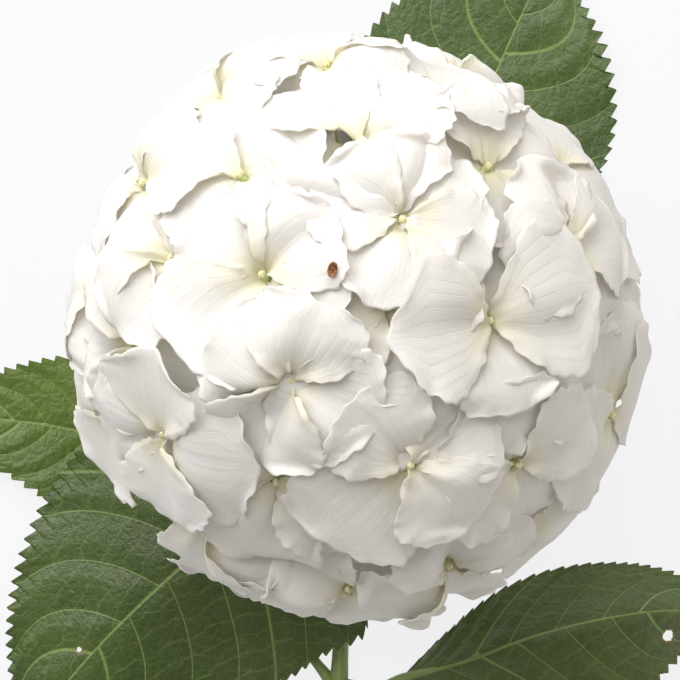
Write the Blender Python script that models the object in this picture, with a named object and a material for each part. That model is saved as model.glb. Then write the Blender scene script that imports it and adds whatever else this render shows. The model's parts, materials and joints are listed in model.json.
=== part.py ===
"""A cut mophead hydrangea, laid on a table: the flower head rests on its lower florets and on one leaf,
and the stem runs away along -Y. Metres, +Z up; the origin is the middle of the underside of the whole flower.

The head is a ball of sterile florets. Each floret is one piece: four broad sepals round a small bud, on a
thin pedicel. Pedicels run inwards to a few flower branches, and these meet at the top of the stem.
"""

import math

import bmesh
import bpy
import numpy as np
from mathutils import Vector
from mathutils.bvhtree import BVHTree

MM = 0.001

# Flower head
HEAD_RADIUS = 77 * MM  # centre of the head to the hub of a floret
HEAD_TILT = 53  # degrees that the head's axis stands above the table
BARE_ANGLE = 49  # degrees round the stem's entry where no floret grows
FLORET_SPACING = 32 * MM  # least distance between two hubs where the florets fill the ball
FLORET_REACH = 27.5 * MM  # hub to the tip of a sepal
REST_HEIGHT = 2.4 * MM  # the lowest sepals above the table, the room of the leaf beneath them

# One floret
HUB_RADIUS = 2.2 * MM
SEPAL_THICKNESS = 0.8 * MM
SEPAL_BREADTH = 0.60  # half width as a share of the reach
LEVEL_RISE = 0.9 * MM  # hub height that one pair of sepals takes up
HUB_LEVELS = LEVEL_RISE * np.array([0, 1, 1.9, 2.9])  # heights of the hub's rings: one pair of sepals
# grows between the first two and the other pair between the last two
ROOT_LEVELS = ((HUB_LEVELS[0] + HUB_LEVELS[1]) / 2, (HUB_LEVELS[2] + HUB_LEVELS[3]) / 2)
BUD_HEIGHT = 2.6 * MM
BUD_WIDEST = 0.6  # share of the bud's height where it is widest
BUD_WIDTH = 0.85  # its radius there as a share of the hub's
PEDICEL_RADIUS = 0.75 * MM
CALYX_DEPTH = 4 * MM
CLEARANCE = 0.5 * MM  # between one piece and the next

HUB_ROOM_ABOVE = 7 * MM  # a sepal's least distance from the axis of a floret that lies over it
LEAST_REACH = 20 * MM  # a sepal isn't shortened below this to keep it from climbing
MOST_CLIMB = 9 * MM  # the most that a layer below may raise a corner of a sepal
PEDICEL_ROOM = 1.8 * MM  # and from the pedicel of any other floret
HUB_ROOM_BELOW = 4.5 * MM  # and from the axis of one that lies under it
LAYER_DEPTH = 6 * MM  # how much further out the hubs of the top layer are than those of the lowest
DROOP_OF_LOWEST = -0.24  # rise over run that the lowest layer's sepals gain, against none for the top layer
FLORET_SWAY = 0.10  # how far a floret's axis leans at random, as a share of its length
TURN_SWAY = 0.07  # radians that a sepal turns at random from the square cross
REACH_RANGE = (0.92, 1.08)  # share of the floret's reach that one of its sepals has
LOWER_LIFTS = (-0.16, 0.02)  # rise over run of the two lower sepals of a floret
UPPER_LIFTS = (-0.02, 0.22)  # and of the two upper ones
CURLS = (-0.20, 0.05)  # further rise towards the tip
CUPS = (-0.10, 0.16)  # rise towards both margins
WAVE = 0.05  # rise of one margin against the other

# How a floret is fitted over those already laid
RAY_START = 200 * MM  # distances are measured inwards from here, well outside the head
RAY_LENGTH = 160 * MM
RAISE_TRIES = 8
SHORTEN_TRIES = 8
SHORTEN_TO = 0.94  # share of its reach that a sepal keeps each time
SHRINK_TRIES = 20
SHRINK_TO = 0.95
FIT_TRIES = 30
RAISE_STEP = 0.25 * MM
HUB_STEP = 0.35 * MM
HUB_PROBES = (0.0, 3 * MM, 5 * MM)  # circles round a new hub on which the head's surface is measured
CLOSE_FLORETS = 2.4  # florets whose hubs are nearer than this many reaches can touch

# Branches and stem
BRANCH_RADIUS = 1.5 * MM
KNOB_RADIUS = 3.2 * MM
BRANCH_REACH = 30 * MM  # centre of the head to a branch's knob
CROWN_DEPTH = 22 * MM  # centre of the head back to the top of the stem
CROWN_RADIUS = 4.4 * MM
STEM_RADIUS = 2.7 * MM
STEM_SIDES = 12
STEM_RINGS = 30
LEAF_THICKNESS = 0.9 * MM
TABLE_GAP = 0.1 * MM  # a leaf's least height above the level that heights are given from
RAY_BELOW = 10 * MM  # heights under the head are measured from this far below the table
LEAF_ROOM = 1.8 * MM  # between a blade and the florets over it
LEAF_PROBES = 6 * MM * np.array([(0, 0), (1, 0), (0, 1), (-1, 0), (0, -1)])  # round each corner of a blade
PETIOLE_RADIUS = 1.5 * MM
PETIOLE_GAP = 1.5 * MM  # surface of the stem to the foot of a petiole, past the swelling of the node

SPARE_TURNS = np.radians([15, 30, 45, 60, 75])  # further turns tried for a floret of the lower side
SIDES = 8  # corners round a hub, so that each of the four sepals takes two sides
SEED = 11

# Florets of the upper side, lowest layer first: x and y of the hub from the centre of the head in
# millimetres, turn of the first sepal in degrees, and reach as a share of FLORET_REACH.
UPPER_FLORETS = (
    (2, -23, 45, 0.75),
    (27, -19, 40, 0.8),
    (-43, -57, 20, 0.95),
    (50, -60, 10, 1.0),
    (-2, -74, 40, 1.05),
    (27, -68, 0, 0.9),
    (-22, -42, 80, 1.05),
    (-72, -27, 30, 1.0),
    (-73, 12, 15, 1.0),
    (62, -5, 75, 1.05),
    (74, 22, 20, 1.0),
    (60, 47, 35, 1.0),
    (-62, -3, 80, 1.0),
    (36, 45, 70, 1.0),
    (22, 66, 20, 1.0),
    (-8, 74, 30, 1.0),
    (-38, 64, 10, 1.0),
    (-60, 42, 60, 1.0),
    (-50, 19, 85, 1.0),
    (-31, 42, 30, 1.0),
    (2, 50, 15, 0.95),
    (56, 22, 10, 0.9),
    (44, -37, 70, 1.0),
    (8, 6, -10, 0.9),
    (12, 28, 85, 0.95),
    (-24, 14, 70, 1.1),
    (35, 2, 5, 1.15),
    (72, -24, 35, 1.1),
    (-17, -13, 10, 1.05),
    (-52, -28, 50, 1.1),
    (14, -36, 5, 1.2),
)


def unit(vector):
    """The vector, or each row of an array of vectors, at length one."""
    return vector / np.linalg.norm(vector, axis=-1, keepdims=True)


HEAD_AXIS = np.array([0.0, math.cos(math.radians(HEAD_TILT)), math.sin(math.radians(HEAD_TILT))])


def clear_scene():
    for obj in list(bpy.data.objects):
        bpy.data.objects.remove(obj)


def material(name, colour, roughness):
    made = bpy.data.materials.new(name)
    made.use_nodes = True
    shader = made.node_tree.nodes["Principled BSDF"]
    shader.inputs["Base Color"].default_value = (*colour, 1.0)
    shader.inputs["Roughness"].default_value = roughness
    shader.inputs["Metallic"].default_value = 0.0
    made.diffuse_color = (*colour, 1.0)
    return made


def strip(row_a, row_b):
    """Triangles between two rows of corners, always stepping along the row that is behind."""
    faces = []
    i = 0
    j = 0
    while i < len(row_a) - 1 or j < len(row_b) - 1:
        next_a = (i + 1) / (len(row_a) - 1)
        next_b = (j + 1) / (len(row_b) - 1)
        if i < len(row_a) - 1 and next_a <= next_b + 1e-9:
            faces.append((row_a[i], row_a[i + 1], row_b[j]))
            i += 1
        else:
            faces.append((row_a[i], row_b[j + 1], row_b[j]))
            j += 1
    return faces


def loop_of(row):
    """A closed row: the corners and the first one again."""
    return [*row, row[0]]


class Solid:
    """The corners and triangles of one closed piece while it is put together."""

    def __init__(self):
        self.corners = []
        self.faces = []

    def add(self, points):
        first = len(self.corners)
        self.corners.extend(np.asarray(points, float).reshape(-1, 3))
        return list(range(first, len(self.corners)))

    def ring(self, centre, across, up, radius, sides):
        """Corners evenly round a circle, counted from the direction across towards up."""
        angles = np.arange(sides) * 2 * math.pi / sides
        return self.add(centre + radius * (np.outer(np.cos(angles), across) + np.outer(np.sin(angles), up)))

    def join(self, row_a, row_b):
        self.faces += strip(row_a, row_b)

    def cap(self, row, point):
        """A fan from one point to a closed row."""
        (middle,) = self.add([point])
        self.faces += [(row[k], row[(k + 1) % len(row)], middle) for k in range(len(row))]

    def tree(self):
        return BVHTree.FromPolygons([Vector(p) for p in self.corners], self.faces)


def make_object(name, solid, made_of, shift):
    """The solid as a smooth-shaded object, its faces turned outwards, its place in its location."""
    points = np.array(solid.corners)
    middle = (points.min(axis=0) + points.max(axis=0)) / 2
    mesh = bpy.data.meshes.new(name)
    mesh.from_pydata((points - middle).tolist(), [], solid.faces)
    shape = bmesh.new()
    shape.from_mesh(mesh)
    bmesh.ops.recalc_face_normals(shape, faces=shape.faces)
    shape.to_mesh(mesh)
    shape.free()
    mesh.shade_smooth()
    mesh.set_sharp_from_angle(angle=math.radians(50))
    mesh.materials.append(made_of)
    obj = bpy.data.objects.new(name, mesh)
    obj.location = (middle + shift).tolist()
    bpy.context.scene.collection.objects.link(obj)
    return obj


def tangents(axis, turn):
    """Two directions square to the axis, the first one turned from level by an angle in radians."""
    side = np.cross([0.0, 0.0, 1.0], axis)
    if np.linalg.norm(side) < 0.05:
        side = np.array([1.0, 0.0, 0.0])
    side = unit(side - axis * (side @ axis))
    other = np.cross(axis, side)
    return (
        side * math.cos(turn) + other * math.sin(turn),
        other * math.cos(turn) - side * math.sin(turn),
    )


def floret_directions():
    """Unit directions of the hubs, lowest layer first, each with its turn and reach.

    The named florets cover the upper side. A golden-angle spiral fills the rest of the ball.
    """
    named = []
    for x, y, turn, reach in UPPER_FLORETS:
        flat = np.array([x, y]) * MM / HEAD_RADIUS
        height = math.sqrt(max(0.03, 1 - flat @ flat))
        named.append((unit(np.array([*flat, height])), math.radians(turn), reach * FLORET_REACH))
    fill = []
    steps = 400
    for k in range(steps):
        level = -1 + 2 * (k + 0.5) / steps
        angle = k * math.pi * (3 - math.sqrt(5))
        across = math.sqrt(1 - level * level)
        way = np.array([across * math.cos(angle), across * math.sin(angle), level])
        if way @ HEAD_AXIS < -math.cos(math.radians(BARE_ANGLE)):
            continue
        taken = [other for other, _, _ in named + fill]
        if min(np.linalg.norm(way - other) for other in taken) * HEAD_RADIUS < FLORET_SPACING:
            continue
        fill.append((way, angle * 1.7, FLORET_REACH))
    return fill + named


SEPAL_ROWS = np.array([0.36, 0.74, 0.98])  # along the sepal
SEPAL_WIDTHS = np.array([0.74, 1.0, 0.44])  # half widths there
SEPAL_ROUNDING = np.array([0.06, 0.12, 0.06])  # how far the margins lie back from the middle in each row
COLUMNS = np.linspace(-1, 1, 5)  # across the sepal
SEPAL_CORNERS = 2 * (5 + 5 + 3)  # of both its sides: two rows of five and one of three


def sepal_points(reach, lift, curl, cup, wave):
    """Corners of a sepal's middle surface, rows by columns, x along it, y across it, z off the floret.

    The rise is lift times the distance out, plus curl times its square, plus cup towards both margins;
    the wave lifts one margin and lowers the other.
    """
    along = SEPAL_ROWS[:, None]
    across = COLUMNS[None, :]
    x = reach * (along - SEPAL_ROUNDING[:, None] * across**2)
    y = reach * SEPAL_BREADTH * SEPAL_WIDTHS[:, None] * across
    z = reach * (lift * along + curl * along**2 + cup * across**2 * along + wave * across * along)
    return np.stack([x, y, z], axis=-1)


class Floret:
    """One floret: a hub on its pedicel, four sepals and a bud."""

    def __init__(self, way, turn, reach, hub_distance, knob, layer, random):
        tilt = random.normal(0, FLORET_SWAY, 3)
        self.way = way
        self.axis = unit(way + tilt - way * (tilt @ way))
        self.turn = turn
        self.across, self.up = tangents(self.axis, turn)
        self.hub = way * hub_distance
        self.knob = knob
        self.turns = np.arange(4) * math.pi / 2 + random.normal(0, TURN_SWAY, 4)
        self.reaches = reach * random.uniform(*REACH_RANGE, 4)
        upper_lifts = random.uniform(*UPPER_LIFTS, 4)
        lower_lifts = random.uniform(*LOWER_LIFTS, 4)
        self.lifts = np.where(np.arange(4) % 2, upper_lifts, lower_lifts) + DROOP_OF_LOWEST * (1 - layer)
        self.curls = random.uniform(*CURLS, 4)
        self.cups = random.uniform(*CUPS, 4)
        self.waves = random.normal(0, WAVE, 4)
        self.raised = np.zeros((4, 3, 5))

    def place(self, local):
        x, y, z = local[..., :1], local[..., 1:2], local[..., 2:]
        return self.hub + x * self.across + y * self.up + z * self.axis

    def sepal(self, k):
        """Corners of sepal k in the head's frame, as the layers below it have raised it."""
        local = sepal_points(self.reaches[k], self.lifts[k], self.curls[k], self.cups[k], self.waves[k])
        cos, sin = math.cos(self.turns[k]), math.sin(self.turns[k])
        x, y, z = local[..., 0], local[..., 1], local[..., 2]
        level = ROOT_LEVELS[k % 2]
        out = self.place(np.stack([cos * x - sin * y, sin * x + cos * y, z + level], axis=-1))
        return out + self.raised[k][..., None] * unit(out)

    def root(self, k):
        """The five points on the hub that sepal k grows from."""
        angles = k * math.pi / 2 + COLUMNS * math.pi / 4
        level = np.full(5, ROOT_LEVELS[k % 2])
        x, y = HUB_RADIUS * np.cos(angles), HUB_RADIUS * np.sin(angles)
        return self.place(np.stack([x, y, level], axis=-1))

    def samples(self, k):
        """Points spread over sepal k's middle surface, with the row and column that each lies at."""
        net = np.concatenate([self.root(k)[None], self.sepal(k)])
        rows = np.linspace(0.6, 3, 13)
        columns = np.linspace(0, 4, 9)
        low_row = np.minimum(rows.astype(int), 2)
        low_column = np.minimum(columns.astype(int), 3)
        part_row = (rows - low_row)[:, None, None]
        part_column = (columns - low_column)[None, :, None]
        across = net[:, low_column] * (1 - part_column) + net[:, low_column + 1] * part_column
        return across[low_row] * (1 - part_row) + across[low_row + 1] * part_row, rows, columns

    def raise_over(self, k, tree):
        """Raises sepal k off the pieces below it, at each corner by the most that is missing near it."""
        for _ in range(RAISE_TRIES):
            points, rows, columns = self.samples(k)
            missing = np.zeros(points.shape[:2])
            for i, j in np.ndindex(missing.shape):
                way = unit(points[i, j])
                hit = tree.ray_cast(Vector(way * RAY_START), Vector(-way), RAY_LENGTH)[0]
                if hit is not None:
                    under = SEPAL_THICKNESS * 0.7 + CLEARANCE
                    missing[i, j] = max(0.0, hit.length + under - np.linalg.norm(points[i, j]))
            if missing.max() <= 0:
                return
            for i in range(3):
                for j in range(5):
                    near = np.ix_(abs(rows - (i + 1)) < 1, abs(columns - j) < 1)
                    self.raised[k, i, j] += missing[near].max()

    def settle(self, k, tree):
        """Raises sepal k over the layers below, and shortens it where it would have to climb too far."""
        start = self.raised[k].copy()
        for _ in range(SHORTEN_TRIES):
            self.raised[k] = start
            self.raise_over(k, tree)
            if self.raised[k].max() < MOST_CLIMB or self.reaches[k] < LEAST_REACH:
                return
            self.reaches[k] *= SHORTEN_TO

    def shrink_from(self, k, others, least):
        """Shortens sepal k until it stays clear of the axes of other hubs and of their pedicels."""
        for _ in range(SHRINK_TRIES):
            points = self.samples(k)[0].reshape(-1, 3)
            room = 1.0
            for way, knob in others:
                from_axis = np.linalg.norm(points - np.outer(points @ way, way), axis=1)
                room = min(room, from_axis.min() - least)
                pedicel = way * HEAD_RADIUS - knob
                share = np.clip((points - knob) @ pedicel / (pedicel @ pedicel), 0, 1)
                from_pedicel = np.linalg.norm(points - knob - np.outer(share, pedicel), axis=1)
                room = min(room, from_pedicel.min() - PEDICEL_ROOM)
            if room > 0:
                return
            self.reaches[k] *= SHRINK_TO

    def fit_between(self, before, after, turns):
        """Shortens the sepals to fit among the neighbours, at the turn that keeps them longest."""
        full = self.reaches.copy()
        best = None
        for turn in (0.0, *turns):
            self.across, self.up = tangents(self.axis, self.turn + turn)
            self.reaches = full.copy()
            for k in range(4):
                self.shrink_from(k, after, HUB_ROOM_ABOVE)
                self.shrink_from(k, before, HUB_ROOM_BELOW)
            if best is None or self.reaches.sum() > best[0]:
                best = (self.reaches.sum(), self.reaches, self.across, self.up)
        _, self.reaches, self.across, self.up = best

    def solid(self):
        """The floret as one closed body: hub, four sepals, bud and pedicel."""
        made = Solid()
        rings = [
            made.ring(self.hub + self.axis * height, self.across, self.up, HUB_RADIUS, SIDES)
            for height in HUB_LEVELS
        ]
        for level, (low, high) in enumerate(zip(rings[:-1], rings[1:])):
            for k in range(SIDES):
                sepal = ((k + 1) // 2) % 4
                if level != 1 and sepal % 2 == level // 2:
                    continue
                made.join([low[k], low[(k + 1) % SIDES]], [high[k], high[(k + 1) % SIDES]])
        for k in range(4):
            low, high = (rings[0], rings[1]) if k % 2 == 0 else (rings[2], rings[3])
            corners = [(2 * k - 1) % SIDES, 2 * k, (2 * k + 1) % SIDES]
            middle = self.sepal(k)
            shell = []
            for side, root in ((0.5, high), (-0.5, low)):
                moved = middle + side * SEPAL_THICKNESS * self.axis
                rows = [made.add(row) for row in (moved[0], moved[1], moved[2][::2])]
                rows = [[root[c] for c in corners], *rows]
                for row_a, row_b in zip(rows[:-1], rows[1:]):
                    made.join(row_a, row_b)
                shell.append([row[0] for row in rows] + [rows[-1][1]] + [row[-1] for row in rows[::-1]])
            made.join(*shell)
        bud_ring = made.ring(
            self.hub + self.axis * (HUB_LEVELS[3] + BUD_HEIGHT * BUD_WIDEST),
            self.across,
            self.up,
            HUB_RADIUS * BUD_WIDTH,
            SIDES,
        )
        made.join(loop_of(rings[3]), loop_of(bud_ring))
        made.cap(bud_ring, self.hub + self.axis * (HUB_LEVELS[3] + BUD_HEIGHT))
        foot = self.hub - self.axis * CALYX_DEPTH
        way = unit(foot - self.knob)
        neck = made.ring(foot, self.across, self.up, PEDICEL_RADIUS, SIDES)
        side = unit(self.across - way * (self.across @ way))
        end = made.ring(
            self.knob + way * (KNOB_RADIUS + CLEARANCE + 0.3 * MM),
            side,
            np.cross(way, side),
            PEDICEL_RADIUS,
            SIDES,
        )
        made.join(loop_of(rings[0]), loop_of(neck))
        made.join(loop_of(neck), loop_of(end))
        made.cap(end, self.knob + way * (KNOB_RADIUS + CLEARANCE))
        return made


def branch_directions():
    """One branch along the head's axis, and five leaning out from it all round."""
    side, other = tangents(HEAD_AXIS, 0.3)
    lean = math.radians(78)
    around = [k * math.pi * 2 / 5 for k in range(5)]
    outward = [side * math.cos(angle) + other * math.sin(angle) for angle in around]
    return [HEAD_AXIS] + [HEAD_AXIS * math.cos(lean) + out * math.sin(lean) for out in outward]


def nearest(points, place):
    return min(points, key=lambda point: np.linalg.norm(place - point))


def build_florets(knobs):
    """Lays the florets one after another, each over those already there, and returns their solids."""
    random = np.random.default_rng(SEED)
    laid = []
    corners = []
    faces = []
    plan = floret_directions()
    for number, (way, turn, reach) in enumerate(plan):
        joined = [(other, nearest(knobs, other * HEAD_RADIUS)) for other, _, _ in plan]
        apart = [np.linalg.norm(other - way) * HEAD_RADIUS for other, _ in joined]
        close = [distance < CLOSE_FLORETS * FLORET_REACH for distance in apart]
        before = [joined[k] for k in range(number) if close[k]]
        after = [joined[k] for k in range(number + 1, len(plan)) if close[k]]
        knob = joined[number][1]
        layer = number / (len(plan) - 1)
        distance = HEAD_RADIUS + LAYER_DEPTH * (layer - 0.5)
        if faces:
            tree = BVHTree.FromPolygons(corners, faces)
            across, up = tangents(way, 0.0)
            for radius in HUB_PROBES:
                for angle in np.arange(8) * math.pi / 4:
                    aside = across * math.cos(angle) + up * math.sin(angle)
                    near = unit(way * HEAD_RADIUS + radius * aside)
                    hit = tree.ray_cast(Vector(near * RAY_START), Vector(-near), RAY_LENGTH)[0]
                    if hit is not None:
                        distance = max(distance, hit.length + SEPAL_THICKNESS + CLEARANCE)
        floret = Floret(way, turn, reach, distance, knob, layer, random)
        floret.fit_between(before, after, () if number >= len(plan) - len(UPPER_FLORETS) else SPARE_TURNS)
        for k in (0, 2):
            if faces:
                floret.settle(k, tree)
        for attempt in range(FIT_TRIES):
            own = floret.solid()
            lower = [Vector(p) for p in own.corners]
            lower_faces = [tuple(corner + len(corners) for corner in face) for face in lower_sepal_faces(own)]
            both = BVHTree.FromPolygons(corners + lower, faces + lower_faces)
            for k in (1, 3):
                floret.settle(k, both)
            solid = floret.solid()
            if not faces:
                break
            if not solid.tree().overlap(tree):
                break
            floret.raised += RAISE_STEP
            if attempt > 2:
                floret.hub = floret.hub + way * HUB_STEP
        laid.append((floret, solid))
        first = len(corners)
        corners += [Vector(p) for p in solid.corners]
        faces += [tuple(c + first for c in face) for face in solid.faces]
    return laid


def lower_sepal_faces(solid):
    """Faces of the two lower sepals of a floret: its corners are the hub's four rings, then each sepal's."""
    low = set()
    start = len(HUB_LEVELS) * SIDES
    for k in (0, 2):
        low |= set(range(start + k * SEPAL_CORNERS, start + (k + 1) * SEPAL_CORNERS))
    return [face for face in solid.faces if low.intersection(face)]


def curve_through(points, count):
    """Points evenly along a smooth curve through the given ones, by Catmull-Rom pieces, and its ways."""
    given = np.array(points, float)
    ends = np.concatenate([[2 * given[0] - given[1]], given, [2 * given[-1] - given[-2]]])
    part = np.linspace(0, 1, 24, endpoint=False)[:, None]
    pieces = []
    for a, b, c, d in zip(ends[:-3], ends[1:-2], ends[2:-1], ends[3:]):
        pieces.append(
            0.5 * (2 * b + (c - a) * part + (2 * a - 5 * b + 4 * c - d) * part**2)
            + 0.5 * (3 * b - a - 3 * c + d) * part**3
        )
    dense = np.concatenate([*pieces, given[-1:]])
    run = np.concatenate([[0], np.cumsum(np.linalg.norm(np.diff(dense, axis=0), axis=1))])
    at = np.linspace(0, run[-1], count)
    line = np.stack([np.interp(at, run, dense[:, axis]) for axis in range(3)], axis=1)
    return line, unit(np.gradient(line, axis=0))


def level_side(way):
    """The level direction to the left of a direction, and the one square to both."""
    left = unit(np.cross([0.0, 0.0, 1.0], way))
    return left, np.cross(way, left)


# Routes in millimetres: x and y from the centre of the head, and height above the table.
# The stem's own starts at its crown and runs straight back for NECK_LENGTH before it bends.
NECK_LENGTH = 24 * MM
STEM_ROUTE = (
    (-2, -60, 17),
    (-4, -92, 7),
    (-5.5, -122, 4.4),
    (-12, -180, 3.1),
    (-22, -250, 3.0),
    (-29, -292, 3.0),
)
UPPER_NODE = 0.125  # share of the stem's length from its top, where the upper leaf pair grows
LOWER_NODE = 0.415
NODE_SWELL = 0.9 * MM
SWELL_SHARE = 0.02  # half the length of that swelling as a share of the stem's length
CUT_SLANT = 3.5 * MM
TOP_SHARE = 0.94  # radius of the stem at its top as a share of STEM_RADIUS, and what it gains to the cut
STEM_TAPER = 0.1
CROWN_PROFILE = ((0.75, 0.66), (0.35, 0.94), (-0.1, 1.0), (-0.7, 0.8))  # heights above the crown's middle
# and radii of its rings, as shares of CROWN_RADIUS

# Each leaf: the node that it grows from, its petiole's route from there, its midrib's route, its half width,
# the fullness of its shape (a larger one is broadest nearer the tip), the slope of the left half and of the
# right half against level (rise over run, up is positive) and its colour.
LEAVES = {
    "leaf_lower_left": {
        "node": UPPER_NODE,
        "petiole": ((-8, -40, 32.5), (-13, -43, 30)),
        "midrib": ((-13, -43, 30), (-37, -61, 22), (-62, -82, 16), (-88, -108, 10), (-110, -136, 3.2)),
        "half_width": 51,
        "fullness": 0.75,
        "slopes": (-0.14, -0.16),
        "colour": (0.045, 0.105, 0.028),
    },
    "leaf_upper_right": {
        "node": UPPER_NODE,
        "petiole": ((5, -24, 18), (9.5, -7, 4.8), (14, 8, 1.6)),
        "midrib": ((14, 8, 1.6), (30, 43, 1.0), (46, 83, 1.2), (57, 108, 4), (65, 125, 3)),
        "half_width": 44,
        "fullness": 1.35,
        "slopes": (0.0, 0.0),
        "colour": (0.040, 0.095, 0.022),
    },
    "leaf_left": {
        "node": LOWER_NODE,
        "petiole": ((-21, -98, 2.4), (-34, -73, 2.0), (-46, -55, 1.6)),
        "midrib": ((-46, -55, 1.6), (-68, -42, 1.5), (-92, -33, 2.5), (-118, -29, 5), (-141, -28, 1.6)),
        "half_width": 26,
        "fullness": 0.75,
        "slopes": (0.05, 0.03),
        "colour": (0.085, 0.150, 0.030),
    },
    "leaf_lower_right": {
        "node": LOWER_NODE,
        "petiole": ((8, -117.5, 8.5), (16, -114, 12)),
        "midrib": (
            (16, -114, 12),
            (36, -107, 25),
            (58, -98, 33),
            (81, -92.5, 31),
            (104, -91, 20),
            (123, -95, 5),
        ),
        "half_width": 32,
        "fullness": 1.1,
        "slopes": (-1.0, -0.32),
        "colour": (0.035, 0.080, 0.020),
    },
}
BLADE_ROUNDING = 0.85  # under 1, the ends of the blade are rounder than a sine
MARGIN_SWEEP = 0.12  # how far the margins lie back along the midrib, as a share of the half width
PETIOLE_CORNERS = np.radians([150, 90, 30, -30, -90, -150])
LEAF_ROWS = 12
LEAF_COLUMNS = np.linspace(-1, 1, 7)


def leaf_width(along, fullness):
    """Half width of the ovate blade as a share of the widest: a sine skewed by the fullness."""
    return np.sin(math.pi * np.clip(along, 0, 1) ** fullness) ** BLADE_ROUNDING


def leaf_points(leaf, floor):
    """Corners of the blade's middle surface, rows along the midrib by columns across it."""
    midrib = np.array(leaf["midrib"], float) * MM + [0, 0, floor]
    line, ways = curve_through(midrib, LEAF_ROWS + 2)
    along = np.linspace(0, 1, LEAF_ROWS + 2)[1:-1]
    rows = []
    for share, point, way in zip(along, line[1:-1], ways[1:-1]):
        left, _ = level_side(way)
        width = leaf_width(share, leaf["fullness"]) * leaf["half_width"] * MM
        slopes = np.where(LEAF_COLUMNS > 0, leaf["slopes"][0], leaf["slopes"][1])
        run = width * LEAF_COLUMNS / np.sqrt(1 + slopes**2)
        rise = abs(run) * slopes
        back = abs(LEAF_COLUMNS) * width * MARGIN_SWEEP
        rows.append(point + run[:, None] * left + rise[:, None] * [0, 0, 1] - back[:, None] * way)
    return np.array(rows), line[-1]


def leaf_solid(leaf, floor, tree, stem_line):
    """The petiole as a six-sided tube, running into the blade as a thin closed shell."""
    made = Solid()
    petiole = np.array(leaf["petiole"], float) * MM + [0, 0, floor]
    at = leaf["node"] * (len(stem_line) - 1)
    node = stem_line[round(at)]
    way = unit(stem_line[round(at) + 1] - node)
    out = petiole[0] - node
    out = unit(out - way * (out @ way))
    petiole = np.concatenate([[node + out * (STEM_RADIUS + PETIOLE_GAP)], petiole])
    line, ways = curve_through(petiole, 6)
    rings = []
    for point, way in zip(line[:-1], ways[:-1]):
        left, up = level_side(way)
        round_it = np.outer(np.sin(PETIOLE_CORNERS), up) - np.outer(np.cos(PETIOLE_CORNERS), left)
        rings.append(made.add(point + PETIOLE_RADIUS * round_it))
    made.cap(rings[0], line[0])
    points, tip = leaf_points(leaf, floor)
    low = floor + TABLE_GAP + LEAF_THICKNESS / 2
    for i, j in np.ndindex(points.shape[:2]):
        x, y, z = points[i, j]
        for aside, onward in LEAF_PROBES:
            start = Vector((x + aside, y + onward, floor - RAY_BELOW))
            hit = tree.ray_cast(start, Vector((0, 0, 1)), RAY_START)[0]
            if hit is not None:
                z = min(z, hit.z - LEAF_THICKNESS / 2 - LEAF_ROOM)
        points[i, j, 2] = max(z, low)
    shell = []
    for side in (0.5, -0.5):
        moved = points + [0, 0, side * LEAF_THICKNESS]
        rows = [made.add(row) for row in moved]
        shell.append(rows)
    top, bottom = shell
    end = rings[-1]
    made.join(end[:3], top[0][::-1])
    made.join(end[3:], bottom[0])
    made.join([end[2], end[3]], [top[0][0], bottom[0][0]])
    made.join([end[5], end[0]], [bottom[0][-1], top[0][-1]])
    for ring_a, ring_b in zip(rings[:-1], rings[1:]):
        made.join(loop_of(ring_a), loop_of(ring_b))
    for rows in shell:
        for row_a, row_b in zip(rows[:-1], rows[1:]):
            made.join(row_a, row_b)
    ends = [made.add([tip + [0, 0, side * LEAF_THICKNESS]])[0] for side in (0.5, -0.5)]
    for rows, end in zip(shell, ends):
        made.faces += [(rows[-1][k], rows[-1][k + 1], end) for k in range(len(rows[-1]) - 1)]
    margins = []
    for rows, end in zip(shell, ends):
        margins.append([row[0] for row in rows] + [end] + [row[-1] for row in rows[::-1]])
    made.join(*margins)
    return made


def branch_solid(crown, knob):
    """A thin branch from the top of the stem to the swollen knob that its pedicels grow from.

    Its rings are a little narrower at the foot, and round the knob's middle they follow its ball.
    """
    way = unit(knob - crown)
    side, up = tangents(way, 0.0)
    start = crown + way * (CROWN_RADIUS + CLEARANCE)
    made = Solid()
    profile = (
        (start, BRANCH_RADIUS * 0.9),
        (knob - way * KNOB_RADIUS * 1.6, BRANCH_RADIUS),
        (knob - way * KNOB_RADIUS * 0.6, KNOB_RADIUS * 0.8),
        (knob, KNOB_RADIUS),
        (knob + way * KNOB_RADIUS * 0.7, KNOB_RADIUS * 0.7),
    )
    rings = [made.ring(centre, side, up, radius, SIDES) for centre, radius in profile]
    for ring_a, ring_b in zip(rings[:-1], rings[1:]):
        made.join(loop_of(ring_a), loop_of(ring_b))
    made.cap(rings[0], start)
    made.cap(rings[-1], knob + way * KNOB_RADIUS)
    return made


def stem_route(floor):
    """Points along the stem's centre, from its crown to the cut, and their directions."""
    crown = -HEAD_AXIS * CROWN_DEPTH
    lying = np.array(STEM_ROUTE, float) * MM + [0, 0, floor]
    return curve_through(np.concatenate([[crown, crown - HEAD_AXIS * NECK_LENGTH], lying]), STEM_RINGS)


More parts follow.
